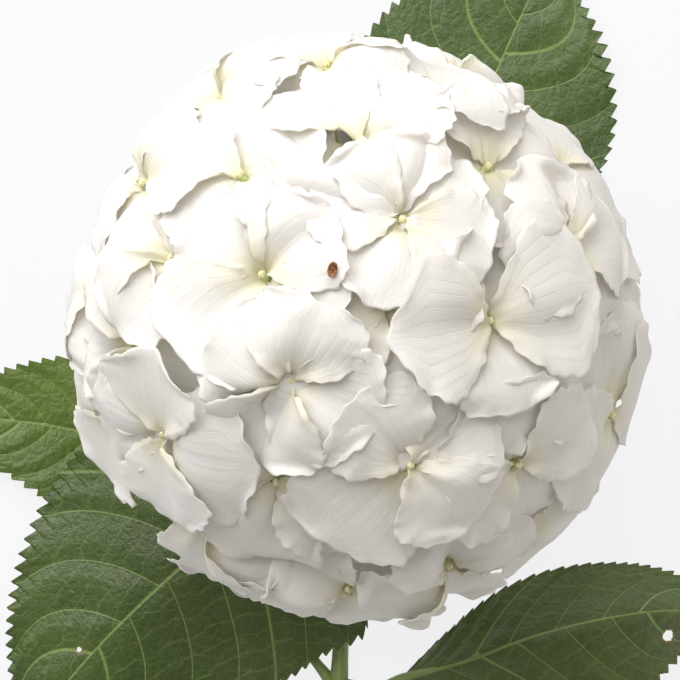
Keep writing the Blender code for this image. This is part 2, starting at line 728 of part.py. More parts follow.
def stem_solid(floor):
    """The stem: a domed crown, the neck, a swelling at each leaf node and a slanted cut."""
    line, ways = stem_route(floor)
    share = np.linspace(0, 1, len(line))
    swell = sum(np.exp(-(((share - node) / SWELL_SHARE) ** 2)) for node in (UPPER_NODE, LOWER_NODE))
    radius = STEM_RADIUS * (TOP_SHARE + STEM_TAPER * share) + NODE_SWELL / 2 * swell
    made = Solid()
    rings = []
    for height, wide in CROWN_PROFILE:
        side, up = level_side(ways[0])
        rings.append(
            made.ring(line[0] - ways[0] * CROWN_RADIUS * height, side, up, CROWN_RADIUS * wide, STEM_SIDES)
        )
    for point, way, wide in zip(line[2:-1], ways[2:-1], radius[2:-1]):
        side, up = level_side(way)
        rings.append(made.ring(point, side, up, wide, STEM_SIDES))
    side, up = level_side(ways[-1])
    cut = made.ring(line[-1], side, up, radius[-1], STEM_SIDES)
    for corner in cut:
        made.corners[corner] = made.corners[corner] + ways[-1] * (made.corners[corner] - line[-1]) @ up * (
            CUT_SLANT / STEM_RADIUS / 2
        )
    rings.append(cut)
    for ring_a, ring_b in zip(rings[:-1], rings[1:]):
        made.join(loop_of(ring_a), loop_of(ring_b))
    made.cap(rings[0], line[0] - ways[0] * CROWN_RADIUS)
    made.cap(cut, line[-1])
    return made


def main():
    clear_scene()
    white = material("sepal_white", (0.86, 0.85, 0.78), 0.6)
    green = material("stem_green", (0.20, 0.25, 0.08), 0.5)
    pale = material("branch_green", (0.45, 0.50, 0.24), 0.5)
    directions = branch_directions()
    knobs = [way * BRANCH_REACH for way in directions]
    crown = -HEAD_AXIS * CROWN_DEPTH
    laid = build_florets(knobs)
    corners = np.concatenate([np.array(solid.corners) for _, solid in laid])
    floor = corners[:, 2].min() - REST_HEIGHT
    merged = []
    faces = []
    for _, solid in laid:
        faces += [tuple(c + len(merged) for c in face) for face in solid.faces]
        merged += [Vector(p) for p in solid.corners]
    tree = BVHTree.FromPolygons(merged, faces)
    stem_line, _ = stem_route(floor)
    pieces = [("stem", stem_solid(floor), green)]
    for number, knob in enumerate(knobs, 1):
        pieces.append((f"flower_branch_{number}", branch_solid(crown, knob), pale))
    for name, leaf in LEAVES.items():
        pieces.append((name, leaf_solid(leaf, floor, tree, stem_line), material(name, leaf["colour"], 0.45)))
    for number, (_, solid) in enumerate(laid, 1):
        pieces.append((f"floret_{number:02d}", solid, white))
    everything = np.concatenate([np.array(solid.corners) for _, solid, _ in pieces])
    low, high = everything.min(axis=0), everything.max(axis=0)
    shift = -np.array([(low[0] + high[0]) / 2, (low[1] + high[1]) / 2, low[2]])
    for name, solid, made_of in pieces:
        make_object(name, solid, made_of, shift)


main()
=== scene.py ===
# %% [markdown]
# # A cut hydrangea
#
# A mophead hydrangea is a ball of sterile florets. Each floret has four broad sepals round a closed bud, on a
# pedicel of its own, and the pedicels spring from a few branches at the top of a thick stem. This one has been cut
# and laid on a table with four of its toothed leaves.
#
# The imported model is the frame: it says where each floret, leaf and stem is and how far it reaches. Every plain
# solid in it is replaced here by the fine surface that it stands for.

# %% Load the frame
import json
import math

import bpy
import numpy as np
from mathutils import Matrix

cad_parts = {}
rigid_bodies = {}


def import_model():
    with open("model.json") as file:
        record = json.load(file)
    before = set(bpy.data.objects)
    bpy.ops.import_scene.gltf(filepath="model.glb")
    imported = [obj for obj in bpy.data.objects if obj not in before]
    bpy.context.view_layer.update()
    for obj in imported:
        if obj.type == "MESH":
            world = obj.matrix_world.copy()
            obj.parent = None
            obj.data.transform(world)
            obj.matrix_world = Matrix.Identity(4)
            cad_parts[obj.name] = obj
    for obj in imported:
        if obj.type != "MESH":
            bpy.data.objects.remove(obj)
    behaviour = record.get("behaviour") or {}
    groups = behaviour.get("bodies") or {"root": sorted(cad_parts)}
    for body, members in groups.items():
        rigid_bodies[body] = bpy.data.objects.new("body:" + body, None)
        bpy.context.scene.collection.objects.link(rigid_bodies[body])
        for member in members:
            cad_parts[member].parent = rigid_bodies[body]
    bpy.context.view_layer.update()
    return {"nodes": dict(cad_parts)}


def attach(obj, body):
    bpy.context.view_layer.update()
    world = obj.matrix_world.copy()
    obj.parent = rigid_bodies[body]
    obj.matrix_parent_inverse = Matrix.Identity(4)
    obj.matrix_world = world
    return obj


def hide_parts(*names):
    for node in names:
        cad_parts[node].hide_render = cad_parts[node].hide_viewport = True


for left_over in list(bpy.data.objects):
    bpy.data.objects.remove(left_over)
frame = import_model()
MM = 0.001
BODY = "root"
FLORETS = sorted(name for name in frame["nodes"] if name.startswith("floret"))
BRANCHES = sorted(name for name in frame["nodes"] if name.startswith("flower_branch"))

# %% [markdown]
# ## Reading the plain solids
#
# A node's mesh is loose triangles, so its corners are joined again before anything is measured on it. The head's
# axis and centre follow from the first branch, which runs straight along that axis: its farthest corner lies a
# known distance from the centre. All other routes are then given from the centre, as the model's own are.


# %% Corners and neighbours of a node
def unit(vectors):
    """Each vector divided by its length."""
    vectors = np.asarray(vectors, float)
    return vectors / np.linalg.norm(vectors, axis=-1, keepdims=True)


def corners_of(node):
    """The node's corners, each once, and its triangles as rows of three corner numbers."""
    mesh = frame["nodes"][node].data
    places = np.empty(len(mesh.vertices) * 3, np.float32)
    mesh.vertices.foreach_get("co", places)
    grain = 1e-6
    steps = np.round(places.reshape(-1, 3) / grain).astype(np.int64)
    whole, number = np.unique(steps, axis=0, return_inverse=True)
    mesh.calc_loop_triangles()
    triangles = np.empty(len(mesh.loop_triangles) * 3, np.int32)
    mesh.loop_triangles.foreach_get("vertices", triangles)
    return whole * grain, number.reshape(-1)[triangles].reshape(-1, 3)


HEAD_TILT = math.radians(53)
HEAD_AXIS = np.array([0.0, math.cos(HEAD_TILT), math.sin(HEAD_TILT)])
BRANCH_REACH = 30 * MM
KNOB_RADIUS = 3.2 * MM
straight, _ = corners_of("flower_branch_1")
HEAD = straight[np.argmax(straight @ HEAD_AXIS)] - HEAD_AXIS * (BRANCH_REACH + KNOB_RADIUS)
print("centre of the head, mm:", np.round(HEAD / MM, 2))

# %% [markdown]
# ## Camera
#
# The flower is looked at from straight above, from far enough away that the head is drawn almost without
# perspective. The top of the picture is the table's +Y. The head's middle lies a little to the right of the centre
# of the picture, so the camera stands a little to the left of it.

# %% Place the camera
CAMERA_RISE = 0.90
VIEW_WIDTH = 0.2074
CAMERA_ASIDE = np.array([-4.6, -3.0, 0.0]) * MM
camera_data = bpy.data.cameras.new("camera")
camera_data.sensor_width = 36
camera_data.lens = camera_data.sensor_width * CAMERA_RISE / VIEW_WIDTH
camera_data.clip_end = 20
camera = bpy.data.objects.new("camera", camera_data)
camera.location = HEAD + CAMERA_ASIDE + [0, 0, CAMERA_RISE]
bpy.context.scene.collection.objects.link(camera)
bpy.context.scene.camera = camera
print("lens, mm:", round(camera_data.lens, 1))

# %% [markdown]
# ## Light and table
#
# A large soft light stands high on the upper left, and a pale sky fills the shadows. White petals need a light that
# leaves them just short of pure white where they face it, with warm grey where they turn away. The table is a plain
# white sheet that is lit from below as well, as on a light table, so that the flower's shadow on it stays faint.

# %% Lights, sky and table
scene = bpy.context.scene
scene.view_settings.view_transform = "Standard"


def area_light(name, place, aim, size, power, colour):
    """A square soft light at a place, turned towards a point."""
    data = bpy.data.lights.new(name, "AREA")
    data.size = size
    data.energy = power
    data.color = colour
    lamp = bpy.data.objects.new(name, data)
    lamp.location = place
    back = unit(np.array(place) - np.array(aim))
    side = unit(np.cross([0.0, 1.0, 0.0], back))
    lamp.rotation_euler = np_to_euler(np.stack([side, np.cross(back, side), back], axis=1))
    scene.collection.objects.link(lamp)
    return lamp


def np_to_euler(columns):
    """The Euler angles of a turn given as a three by three array whose columns are its axes."""
    return Matrix(columns.tolist()).to_euler()


area_light("key", (-0.36, 0.68, 0.74), HEAD, 1.2, 17.5, (1.0, 0.987, 1.0))
area_light("fill", (0.9, 0.3, 0.8), HEAD, 1.2, 3.5, (1.0, 0.95, 0.89))

world = bpy.data.worlds.new("sky")
world.use_nodes = True
sky = world.node_tree.nodes["Background"].inputs
sky["Color"].default_value = (1.0, 0.965, 0.925, 1)
sky["Strength"].default_value = 0.335
scene.world = world
print("lights:", [lamp.name for lamp in bpy.data.lights])

# %% [markdown]
# ## Two helpers for every piece
#
# A surface here is a grid of points, rows by columns, worked out as whole arrays. A thin leaf or petal is two such
# sheets, one over the other, whose edges are joined all round, so it is one closed skin with its faces outwards.
#
# Shader maths is written as Python expressions. `Value` wraps the output of a node, and each operator on it adds the
# Math node it stands for.


# %% Put arrays into a mesh
class Skin:
    """Collects points and faces of one piece and makes the mesh.

    Each face has the number of its finish. Each point has its place on the map and a tint, a number that the
    finish may use.
    """

    def __init__(self):
        self.points = []
        self.faces = []
        self.maps = []
        self.tints = []
        self.finishes = []
        self.count = 0

    def add(self, points, faces, places, finish=0, tint=0.0):
        """Adds points (n, 3), faces of four corners (m, 4), the points' places on the map, a finish and a tint."""
        points = points.reshape(-1, 3)
        self.points.append(points)
        self.faces.append(faces + self.count)
        self.maps.append(places.reshape(-1, 2))
        self.tints.append(np.broadcast_to(np.asarray(tint, float).ravel(), len(points)))
        self.finishes.append(np.broadcast_to(np.asarray(finish, np.int32), len(faces)))
        self.count += len(points)

    def make(self, name, finishes):
        """The piece as an object at the origin, shaded smooth. A face may name a corner twice: it is a triangle."""
        points = np.concatenate(self.points)
        faces = np.concatenate(self.faces)
        places = np.concatenate(self.maps)
        kept = faces != np.roll(faces, -1, axis=1)
        sizes = kept.sum(axis=1)
        mesh = bpy.data.meshes.new(name)
        mesh.vertices.add(len(points))
        mesh.vertices.foreach_set("co", points.astype(np.float32).ravel())
        corners = faces[kept].astype(np.int32)
        mesh.loops.add(len(corners))
        mesh.loops.foreach_set("vertex_index", corners)
        mesh.polygons.add(len(faces))
        mesh.polygons.foreach_set("loop_start", (np.cumsum(sizes) - sizes).astype(np.int32))
        mesh.polygons.foreach_set("material_index", np.concatenate(self.finishes))
        mesh.update(calc_edges=True)
        mesh.polygons.foreach_set("use_smooth", np.ones(len(faces), bool))
        layer = mesh.uv_layers.new(name="surface")
        layer.data.foreach_set("uv", places[corners].astype(np.float32).ravel())
        tints = np.concatenate(self.tints).astype(np.float32)
        mesh.attributes.new("tint", "FLOAT", "POINT").data.foreach_set("value", tints)
        for finish in finishes:
            mesh.materials.append(finish)
        made = bpy.data.objects.new(name, mesh)
        scene.collection.objects.link(made)
        return made


def grid_faces(rows, columns, closed=False):
    """Faces of a grid of points numbered row by row, turned so that rows x columns points out. A closed grid's last
    column joins its first."""
    row, column = np.meshgrid(np.arange(rows - 1), np.arange(columns if closed else columns - 1), indexing="ij")
    here = (row * columns + column).ravel()
    aside = (row * columns + (column + 1) % columns).ravel()
    return np.stack([here, here + columns, aside + columns, aside], axis=1)


def thin_shell(skin, middle, normals, thickness, places, finishes=(0, 0), tint=0.0):
    """Adds a sheet with two sides: the middle surface moved half its thickness to either side, and a rim between.
    The finishes are the upper side's, which the rim shares, and the under side's."""
    rows, columns = middle.shape[:2]
    half = normals * (thickness / 2)
    count = rows * columns
    faces = grid_faces(rows, columns)
    number = np.arange(count).reshape(rows, columns)
    rim = np.concatenate([number[0, :-1], number[:-1, -1], number[-1, :0:-1], number[:0:-1, 0]])
    onward = np.roll(rim, -1)
    edge = np.stack([rim, onward, onward + count, rim + count], axis=1)
    points = np.concatenate([(middle + half).reshape(-1, 3), (middle - half).reshape(-1, 3)])
    both = np.concatenate([places.reshape(-1, 2)] * 2)
    tints = np.concatenate([np.broadcast_to(tint, (rows, columns)).ravel()] * 2)
    finish = np.repeat(finishes, [len(faces) + len(edge), len(faces)])
    skin.add(points, np.concatenate([faces, edge, faces[:, ::-1] + count]), both, finish, tints)


def tube(skin, rings, places=None, finish=0, tint=0.0, ends=None):
    """Adds a closed tube through rings of points (rows, columns, 3) that turn left about the way they follow.
    Each end is closed with a fan to the ring's middle, or to the point given for it."""
    rows, columns = rings.shape[:2]
    ends = [rings[0].mean(axis=0), rings[-1].mean(axis=0)] if ends is None else ends
    first, last = rows * columns, rows * columns + 1
    here = np.arange(columns)
    onward = (here + 1) % columns
    top = (rows - 1) * columns
    start_fan = np.stack([onward, here, np.full(columns, first), np.full(columns, first)], axis=1)
    end_fan = np.stack([here + top, onward + top, np.full(columns, last), np.full(columns, last)], axis=1)
    faces = np.concatenate([grid_faces(rows, columns, closed=True)[:, ::-1], start_fan, end_fan])
    along, around = np.meshgrid(np.linspace(0, 1, rows), np.linspace(0, 1, columns), indexing="ij")
    places = np.stack([around, along], axis=-1).reshape(-1, 2)
    places = np.concatenate([places, [[0.5, 0.0], [0.5, 1.0]]])
    points = np.concatenate([rings.reshape(-1, 3), ends])
    if np.ndim(tint):
        rows_of_tint = np.broadcast_to(np.asarray(tint)[:, None], (rows, columns))
        tint = np.concatenate([rows_of_tint.ravel(), tint[:1], tint[-1:]])
    skin.add(points, faces, places, finish, tint)


def rings_along(line, ways, radius, columns, lobes=0.0, lobe_count=0):
    """Rings round a line: each lies square to its way, with a radius for each row. Lobes swell it in turn."""
    side = unit(np.cross(ways, [0.12, 0.37, 0.92]))
    up = np.cross(ways, side)
    angle = np.arange(columns) * 2 * math.pi / columns
    swell = 1 + lobes * np.cos(lobe_count * angle)
    reach = np.asarray(radius)[:, None, None] * swell[None, :, None]
    turn = np.cos(angle)[None, :, None] * side[:, None] + np.sin(angle)[None, :, None] * up[:, None]
    return line[:, None] + reach * turn


def sheet_normals(points):
    """The normal at each point of a grid, from the directions along its rows and its columns."""
    down = np.gradient(points, axis=0)
    across = np.gradient(points, axis=1)
    normals = np.cross(down, across)
    length = np.linalg.norm(normals, axis=-1, keepdims=True)
    return normals / np.maximum(length, 1e-12)


# %% Shader maths as expressions
class Value:
    """An output of a node that Python's operators work on: each operator adds the Math node it stands for."""

    def __init__(self, finish, socket):
        self.finish = finish
        self.socket = socket

    def math(self, operation, *values):
        return self.finish.node("ShaderNodeMath", {"operation": operation}, dict(enumerate(values)))

    def __abs__(self):
        return self.math("ABSOLUTE", self)

    def sine(self):
        return self.math("SINE", self)

    def above(self, other):
        """The larger of the two."""
        return self.math("MAXIMUM", self, other)

    def below(self, other):
        """The smaller of the two."""
        return self.math("MINIMUM", self, other)

    def to_middle(self):
        """Distance to the middle of the unit step that the value is in: 0.5 at whole numbers, 0 halfway."""
        return abs(self.math("FRACT", self) - 0.5)

    def between(self, low, high):
        """0 up to low, 1 from high, and a smooth rise between. With low above high it falls instead."""
        settings = {"interpolation_type": "SMOOTHSTEP"}
        values = {"Value": self, "From Min": low, "From Max": high, "To Min": 0.0, "To Max": 1.0}
        if low > high:
            values.update({"From Min": high, "From Max": low, "To Min": 1.0, "To Max": 0.0})
        return self.finish.node("ShaderNodeMapRange", settings, values)


def add_operator(name, operation):
    """Gives Value an operator and its reflected form, for when the number stands first."""
    setattr(Value, f"__{name}__", lambda self, other: self.math(operation, self, other))
    setattr(Value, f"__r{name}__", lambda self, other: self.math(operation, other, self))


OPERATORS = {"add": "ADD", "sub": "SUBTRACT", "mul": "MULTIPLY", "truediv": "DIVIDE", "pow": "POWER"}
for operator_name, node_operation in OPERATORS.items():
    add_operator(operator_name, node_operation)


class Finish:
    """A material that is built up node by node."""

    def __init__(self, name):
        self.material = bpy.data.materials.new(name)
        self.material.use_nodes = True
        self.tree = self.material.node_tree
        self.tree.nodes.clear()

    def node(self, kind, settings=None, values=None, output=0):
        """Adds a node: its settings are set first, then each input gets its value or its link."""
        made = self.tree.nodes.new(kind)
        for name, setting in (settings or {}).items():
            setattr(made, name, setting)
        for name, value in (values or {}).items():
            if isinstance(value, Value):
                self.tree.links.new(value.socket, made.inputs[name])
            else:
                made.inputs[name].default_value = value
        return Value(self, made.outputs[output] if made.outputs else None)

    def mix(self, share, first, second):
        """The first colour where the share is 0 and the second where it is 1."""
        colours = [c if isinstance(c, Value) else (*c, 1.0) for c in (first, second)]
        settings = {"data_type": "RGBA"}
        return self.node("ShaderNodeMix", settings, {0: share, 6: colours[0], 7: colours[1]}, output=2)

    def surface_map(self):
        """The two coordinates of the piece's own map, and the map itself."""
        mapped = self.node("ShaderNodeTexCoord", output=2)
        parts = self.node("ShaderNodeSeparateXYZ", None, {0: mapped})
        return parts, Value(self, parts.socket.node.outputs[1]), mapped

    def noise(self, scale, detail=3.0, roughness=0.55, place=None):
        """Cloudy noise between 0 and 1, finer with a larger scale. It lies in the piece's own space."""
        where = place or self.node("ShaderNodeTexCoord", output=3)
        values = {"Vector": where, "Scale": scale, "Detail": detail, "Roughness": roughness}
        return self.node("ShaderNodeTexNoise", None, values)

    def bump(self, height, distance, strength=1.0):
        """A normal that makes the height look raised by up to the distance."""
        return self.node("ShaderNodeBump", None, {"Height": height, "Distance": distance, "Strength": strength})

    def attribute(self, name):
        """A number that each point of the mesh carries."""
        return self.node("ShaderNodeAttribute", {"attribute_name": name}, output=2)

    def principled(self, values):
        """The general surface shader with the given values or links on its sockets."""
        return self.node("ShaderNodeBsdfPrincipled", None, values)

    def close(self, shader):
        """Joins the finished shader to the output, and gives back the material."""
        self.node("ShaderNodeOutputMaterial", None, {"Surface": shader})
        return self.material


# %% The table
TABLE_SIZE = 6.0
TABLE_GLOW = 0.825
paper = Finish("table_white")
fibre = paper.noise(9.0, 5.0)
paper_colour = paper.mix(fibre, (0.080, 0.081, 0.084), (0.088, 0.089, 0.092))
paper_values = {"Base Color": paper_colour, "Roughness": 0.85}
paper_values.update({"Emission Color": (1.0, 1.0, 1.01, 1.0), "Emission Strength": TABLE_GLOW})
paper_shader = paper.principled(paper_values)
table = Skin()
edge = TABLE_SIZE / 2
square = np.array([[[-edge, -edge, 0], [-edge, edge, 0]], [[edge, -edge, 0], [edge, edge, 0]]])
table.add(square, grid_faces(2, 2), square[..., :2])
table.make("table", [paper.close(paper_shader)])
print("table", TABLE_SIZE, "m wide")

# %% [markdown]
# ## Where each sepal lies
#
# The plain solid of a floret holds all that its sepals need: a bud whose point is the only corner with eight close
# neighbours, a hub beneath it, and four blades that come apart when the hub's corners are left out. Each blade has
# thirteen pairs of corners, in rows of five, five and three, and the middles of those pairs are the sepal's net.
# Between the net's points the sepal's height is read from a smooth curve along it and another across it.

# %% Decode a floret
HUB_TO_POINT = 5.21 * MM
LEVELS = (0.45 * MM, 2.16 * MM)
NET_ROWS = np.array([0.08, 0.36, 0.74, 0.98])
NET_WIDTHS = np.array([0.16, 0.74, 1.0, 0.44])
BREADTH = 0.60


def neighbours_of(triangles, count):
    """For each pair of corners whether an edge joins them."""
    joined = np.zeros((count, count), bool)
    for a, b in ((0, 1), (1, 2), (2, 0)):
        joined[triangles[:, a], triangles[:, b]] = True
        joined[triangles[:, b], triangles[:, a]] = True
    return joined


def bud_point(corners, joined):
    """The number of the corner at the bud's point, and the middle of the ring round it."""
    apart = np.linalg.norm(corners[:, None] - corners[None], axis=2)
    farthest = np.where(joined, apart, 0).max(axis=1)
    likely = np.flatnonzero((joined.sum(axis=1) == 8) & (farthest < 2.6 * MM) & (farthest > 1.6 * MM))
    spread = [np.where(joined[k], apart[k], np.nan) for k in likely]
    best = likely[np.argmin([np.nanmax(row) - np.nanmin(row) for row in spread])]
    return best, corners[joined[best]].mean(axis=0)


def blades(joined, keep):
    """Groups of kept corners that edges join, found by spreading the lowest number in each group."""
    label = np.where(keep, np.arange(len(keep)), len(keep))
    linked = joined & keep[:, None] & keep[None]
    for _ in range(30):
        reach = np.where(linked, label[None], len(keep)).min(axis=1)
        label = np.where(keep, np.minimum(label, reach), label)
    return [np.flatnonzero(label == name) for name in np.unique(label[keep])]


def sepal_net(points, hub, axis):
    """Direction and reach of one blade, and its three rows of five heights. The last row has only three pairs, so
    the two between them are read from the parabola through those."""
    rise = (points - hub) @ axis
    flat = points - hub - rise[:, None] * axis
    apart = np.linalg.norm(flat[:, None] - flat[None], axis=2) + np.eye(len(points))
    partner = apart.argmin(axis=1)
    first = np.flatnonzero(np.arange(len(points)) < partner)
    middle = (flat[first] + flat[partner[first]]) / 2
    height = (rise[first] + rise[partner[first]]) / 2
    way = unit(middle.mean(axis=0))
    side = np.cross(axis, way)
    along, aside = middle @ way, middle @ side
    order = np.argsort(along)
    rows = [row[np.argsort(aside[row])] for row in (order[:5], order[5:10], order[10:13])]
    reach = along[rows[2][1]] / NET_ROWS[3]
    left, tip, right = height[rows[2]]
    end = [left, 0.375 * left + 0.75 * tip - 0.125 * right, tip, 0.375 * right + 0.75 * tip - 0.125 * left, right]
    return {"way": way, "side": side, "reach": reach, "rows": [height[rows[0]], height[rows[1]], np.array(end)]}


def decode(node):
    """Hub, axis and four sepals of a floret's plain solid, and the far end of its pedicel."""
    corners, triangles = corners_of(node)
    joined = neighbours_of(triangles, len(corners))
    point, ring = bud_point(corners, joined)
    axis = unit(corners[point] - ring)
    hub = corners[point] - axis * HUB_TO_POINT
    rise = (corners - hub) @ axis
    out = np.linalg.norm(corners - hub - rise[:, None] * axis, axis=1)
    keep = (out > 3 * MM) | (rise < -6 * MM)
    groups = blades(joined, keep)
    sepals = [sepal_net(corners[group], hub, axis) for group in groups if len(group) == 26]
    small = [corners[group].mean(axis=0) for group in groups if len(group) < 20]
    foot = min(small, key=lambda middle: (middle - hub) @ axis)
    return {"hub": hub, "axis": axis, "sepals": sepals, "foot": foot}


found = {node: decode(node) for node in FLORETS}
print("sepals found:", sorted({len(floret["sepals"]) for floret in found.values()}))
reaches = [sepal["reach"] / MM for floret in found.values() for sepal in floret["sepals"]]
print("reach from", round(min(reaches), 1), "to", round(max(reaches), 1), "mm")


# %% [markdown]
# ## Sepals
#
# A sepal is a thin, broad, rounded blade that narrows to its base, with a soft fold along its veins and a margin
# that waves. It could be sculpted by hand, but two hundred of them differ only in their reach, their tilt and their
# waves. So one function makes them all: a square grid is pressed into a disc, which has no pole, the disc is
# stretched into the sepal's outline, and the height at each point is read from the net.


# %% The shape of a sepal
SEPAL_GRID = 36
SEPAL_SKIN = 0.24 * MM
LEAST_REACH_ABOVE = 26.0 * MM
LEAST_REACH_BELOW = 22.5 * MM
LOWER_BAND = 30 * MM  # florets further than this under the head's middle count as below
BALL_RADIUS = 84 * MM  # what stands further out than this is drawn in
BALL_EDGE = 13 * MM
RIM_BAND = 35 * MM
MOST_LEAN = 0.5
TABLE_ROOM = 0.25 * MM  # sepals that reach the table come to rest on it, eased over the next number
REST_EASE = 0.5 * MM
SEPAL_THROUGH = 0.38  # share of the light that passes through
LEAF_THROUGH = 0.12
FLORET_SEED = 1000
LEAF_SEED = 50
square_along, square_aside = np.meshgrid(*[np.linspace(-1, 1, SEPAL_GRID)] * 2, indexing="ij")
DISC_ALONG = square_along * np.sqrt(1 - square_aside**2 / 2)
DISC_ASIDE = square_aside * np.sqrt(1 - square_along**2 / 2)
DISC_OUT = np.hypot(DISC_ALONG, DISC_ASIDE)
DISC_ANGLE = np.arctan2(DISC_ASIDE, DISC_ALONG)


def lagrange_weights(knots, at):
    """How much of each knot's value goes into the value at each place, for the polynomial through all of them."""
    weights = np.ones((*np.shape(at), len(knots)))
    for own, knot in enumerate(knots):
        for other in np.delete(knots, own):
            weights[..., own] *= (at - other) / (knot - other)
    return weights


def spline_weights(count, at):
    """The same for a Catmull-Rom curve through values spaced one apart, which runs on straight past its ends."""
    low = np.clip(np.floor(at).astype(int), 0, count - 2)
    part = at - low
    inside = np.clip(part, 0, 1)
    past = part - inside
    cubic = (
        (-inside + 2 * inside**2 - inside**3) / 2,
        1 + (-5 * inside**2 + 3 * inside**3) / 2,
        (inside + 4 * inside**2 - 3 * inside**3) / 2,
        (-(inside**2) + inside**3) / 2,
    )
    padded = np.zeros((*np.shape(at), count + 2))
    for step, share in enumerate(cubic):
        np.put_along_axis(padded, (low + step)[..., None], share[..., None], axis=-1)
    weights = padded[..., 1:-1].copy()
    weights[..., 0] += 2 * padded[..., 0]
    weights[..., 1] -= padded[..., 0]
    weights[..., -1] += 2 * padded[..., -1]
    weights[..., -2] -= padded[..., -1]
    start, end = np.minimum(past, 0), np.maximum(past, 0)
    weights[..., 0] -= start
    weights[..., 1] += start
    weights[..., -1] += end
    weights[..., -2] -= end
    return weights


def sepal_shape(blade, level, least, random):
    """Middle surface of a sepal in its own axes, x along it and y across it, and each point's place on the map.
    A sepal shorter than the least reach is drawn out to it.

    The outline is a disc stretched to the sepal's reach, wider towards the tip, with slow lobes and small notches at
    the margin. The height is the net's, plus waves that grow towards the margin.
    """
    reach = max(blade["reach"], least)
    phases = random.uniform(0, 2 * math.pi, 6)
    lobes = 0.030 * np.sin(2 * DISC_ANGLE + phases[0]) + 0.030 * np.sin(5 * DISC_ANGLE + phases[1])
    notches = 0.020 * np.sin(11 * DISC_ANGLE + phases[2]) + 0.020 * np.sin(22 * DISC_ANGLE + phases[3])
    spread = 1 + DISC_OUT**3 * lobes + DISC_OUT**8 * notches
    u, v = DISC_ALONG * spread, DISC_ASIDE * spread
    point = random.uniform(-0.035, 0.05) * np.exp(-((v / 0.22) ** 2)) * np.clip(u, 0, 1) ** 3
    x = reach * (0.03 + 1.03 * (u + 1) / 2 - 0.04 * v**2 + point)
    claw = 1 - 0.45 * np.exp(-np.clip(x, 0, None) / (0.14 * reach))
    y = reach * BREADTH * 1.17 * v * (0.97 + 0.28 * u) * claw
    width = reach * BREADTH * np.interp(x / reach, NET_ROWS, NET_WIDTHS)
    aside = np.clip(y / width, -1.2, 1.2)
    along = np.clip(x / reach + 0.08 * aside**2, 0.03, 1.06)
    net = np.stack([np.full(5, level), *blade["rows"]])
    heights = np.einsum(
        "...i,ij,...j->...",
        lagrange_weights(NET_ROWS, along),
        net,
        spline_weights(5, (aside + 1) * 2),
    )
    slow = 1.3 * np.sin(3 * DISC_ANGLE + phases[4]) + 0.9 * np.sin(7 * DISC_ANGLE + phases[5])
    quick = 0.50 * np.sin(12 * DISC_ANGLE + phases[2]) + 0.24 * np.sin(21 * DISC_ANGLE + phases[0])
    folds = np.cos(9 * math.pi * aside + phases[1]) * 0.20 + np.cos(17 * math.pi * aside + phases[3]) * 0.08
    crease = -0.4 * np.exp(-((aside / 0.10) ** 2)) * np.clip(1.1 - along, 0, 1)
    waves = DISC_OUT**4 * slow + DISC_OUT**6 * quick + folds * along * (1 - DISC_OUT**6) + crease
    height = heights + waves * MM * random.uniform(0.65, 1.2)
    return np.stack([x, y, height], axis=-1), np.stack([aside / 2.4 + 0.5, along], axis=-1)


def into_ball(points):
    """Draws in what stands out of the head, so that it stays a ball: beyond a radius the distance from the head's
    centre grows less and less, towards a largest one. Which petal lies over which doesn't change."""
    out = points - HEAD
    far = np.linalg.norm(out, axis=-1, keepdims=True)
    past = np.clip(far - BALL_RADIUS, 0, None)
    drawn = np.minimum(far, BALL_RADIUS) + BALL_EDGE * (1 - np.exp(-past / (BALL_EDGE * 1.3)))
    return HEAD + out * drawn / far


def lean_to_viewer(floret):
    """Turns a floret at the head's rim upwards about its hub, as rim florets open towards the light: the more its
    axis lies level, the more. Florets of the under side stay as they are. Returns the turn in degrees."""
    axis = floret["axis"]
    high = np.clip((floret["hub"][2] - HEAD[2] + RIM_BAND) / RIM_BAND, 0, 1)
    share = np.clip((0.5 - axis[2]) / 0.4, 0, 1) * high
    turned = unit(axis + [0, 0, MOST_LEAN * share])
    hinge = np.cross(axis, turned)
    angle = math.asin(min(np.linalg.norm(hinge), 1.0))
    if angle > 0.001:
        turn = np.array(Matrix.Rotation(angle, 3, hinge.tolist()))
        floret["axis"] = turned
        for blade in floret["sepals"]:
            blade["way"], blade["side"] = turn @ blade["way"], turn @ blade["side"]
    return math.degrees(angle)


def add_sepals(skin, floret, random):
    """Adds the four sepals of a floret. The lower pair of the four grows from the lower level of the hub."""
    axis = floret["axis"]
    least = LEAST_REACH_ABOVE if floret["hub"][2] > HEAD[2] - LOWER_BAND else LEAST_REACH_BELOW
    order = np.argsort([blade["rows"][0].mean() for blade in floret["sepals"]])
    for rank, which in enumerate(order):
        blade = floret["sepals"][which]
        shape, places = sepal_shape(blade, LEVELS[int(rank >= 2)], least, random)
        frame_axes = np.stack([blade["way"], blade["side"], axis])
        middle = into_ball(floret["hub"] + shape @ frame_axes)
        middle[..., 2] = TABLE_ROOM + np.logaddexp(0, (middle[..., 2] - TABLE_ROOM) / REST_EASE) * REST_EASE
        thin_shell(skin, middle, sheet_normals(middle), SEPAL_SKIN, places, tint=random.uniform(0, 1))


# %% [markdown]
# ## Bud and pedicel
#
# The bud in the middle of a sterile floret stays closed: a small, round, faintly four-lobed knob, creamy green. The
# pedicel is a thin pale-green stalk that swells into a calyx under the sepals. Both are profiles carried along a
# path, so one tube function makes them.


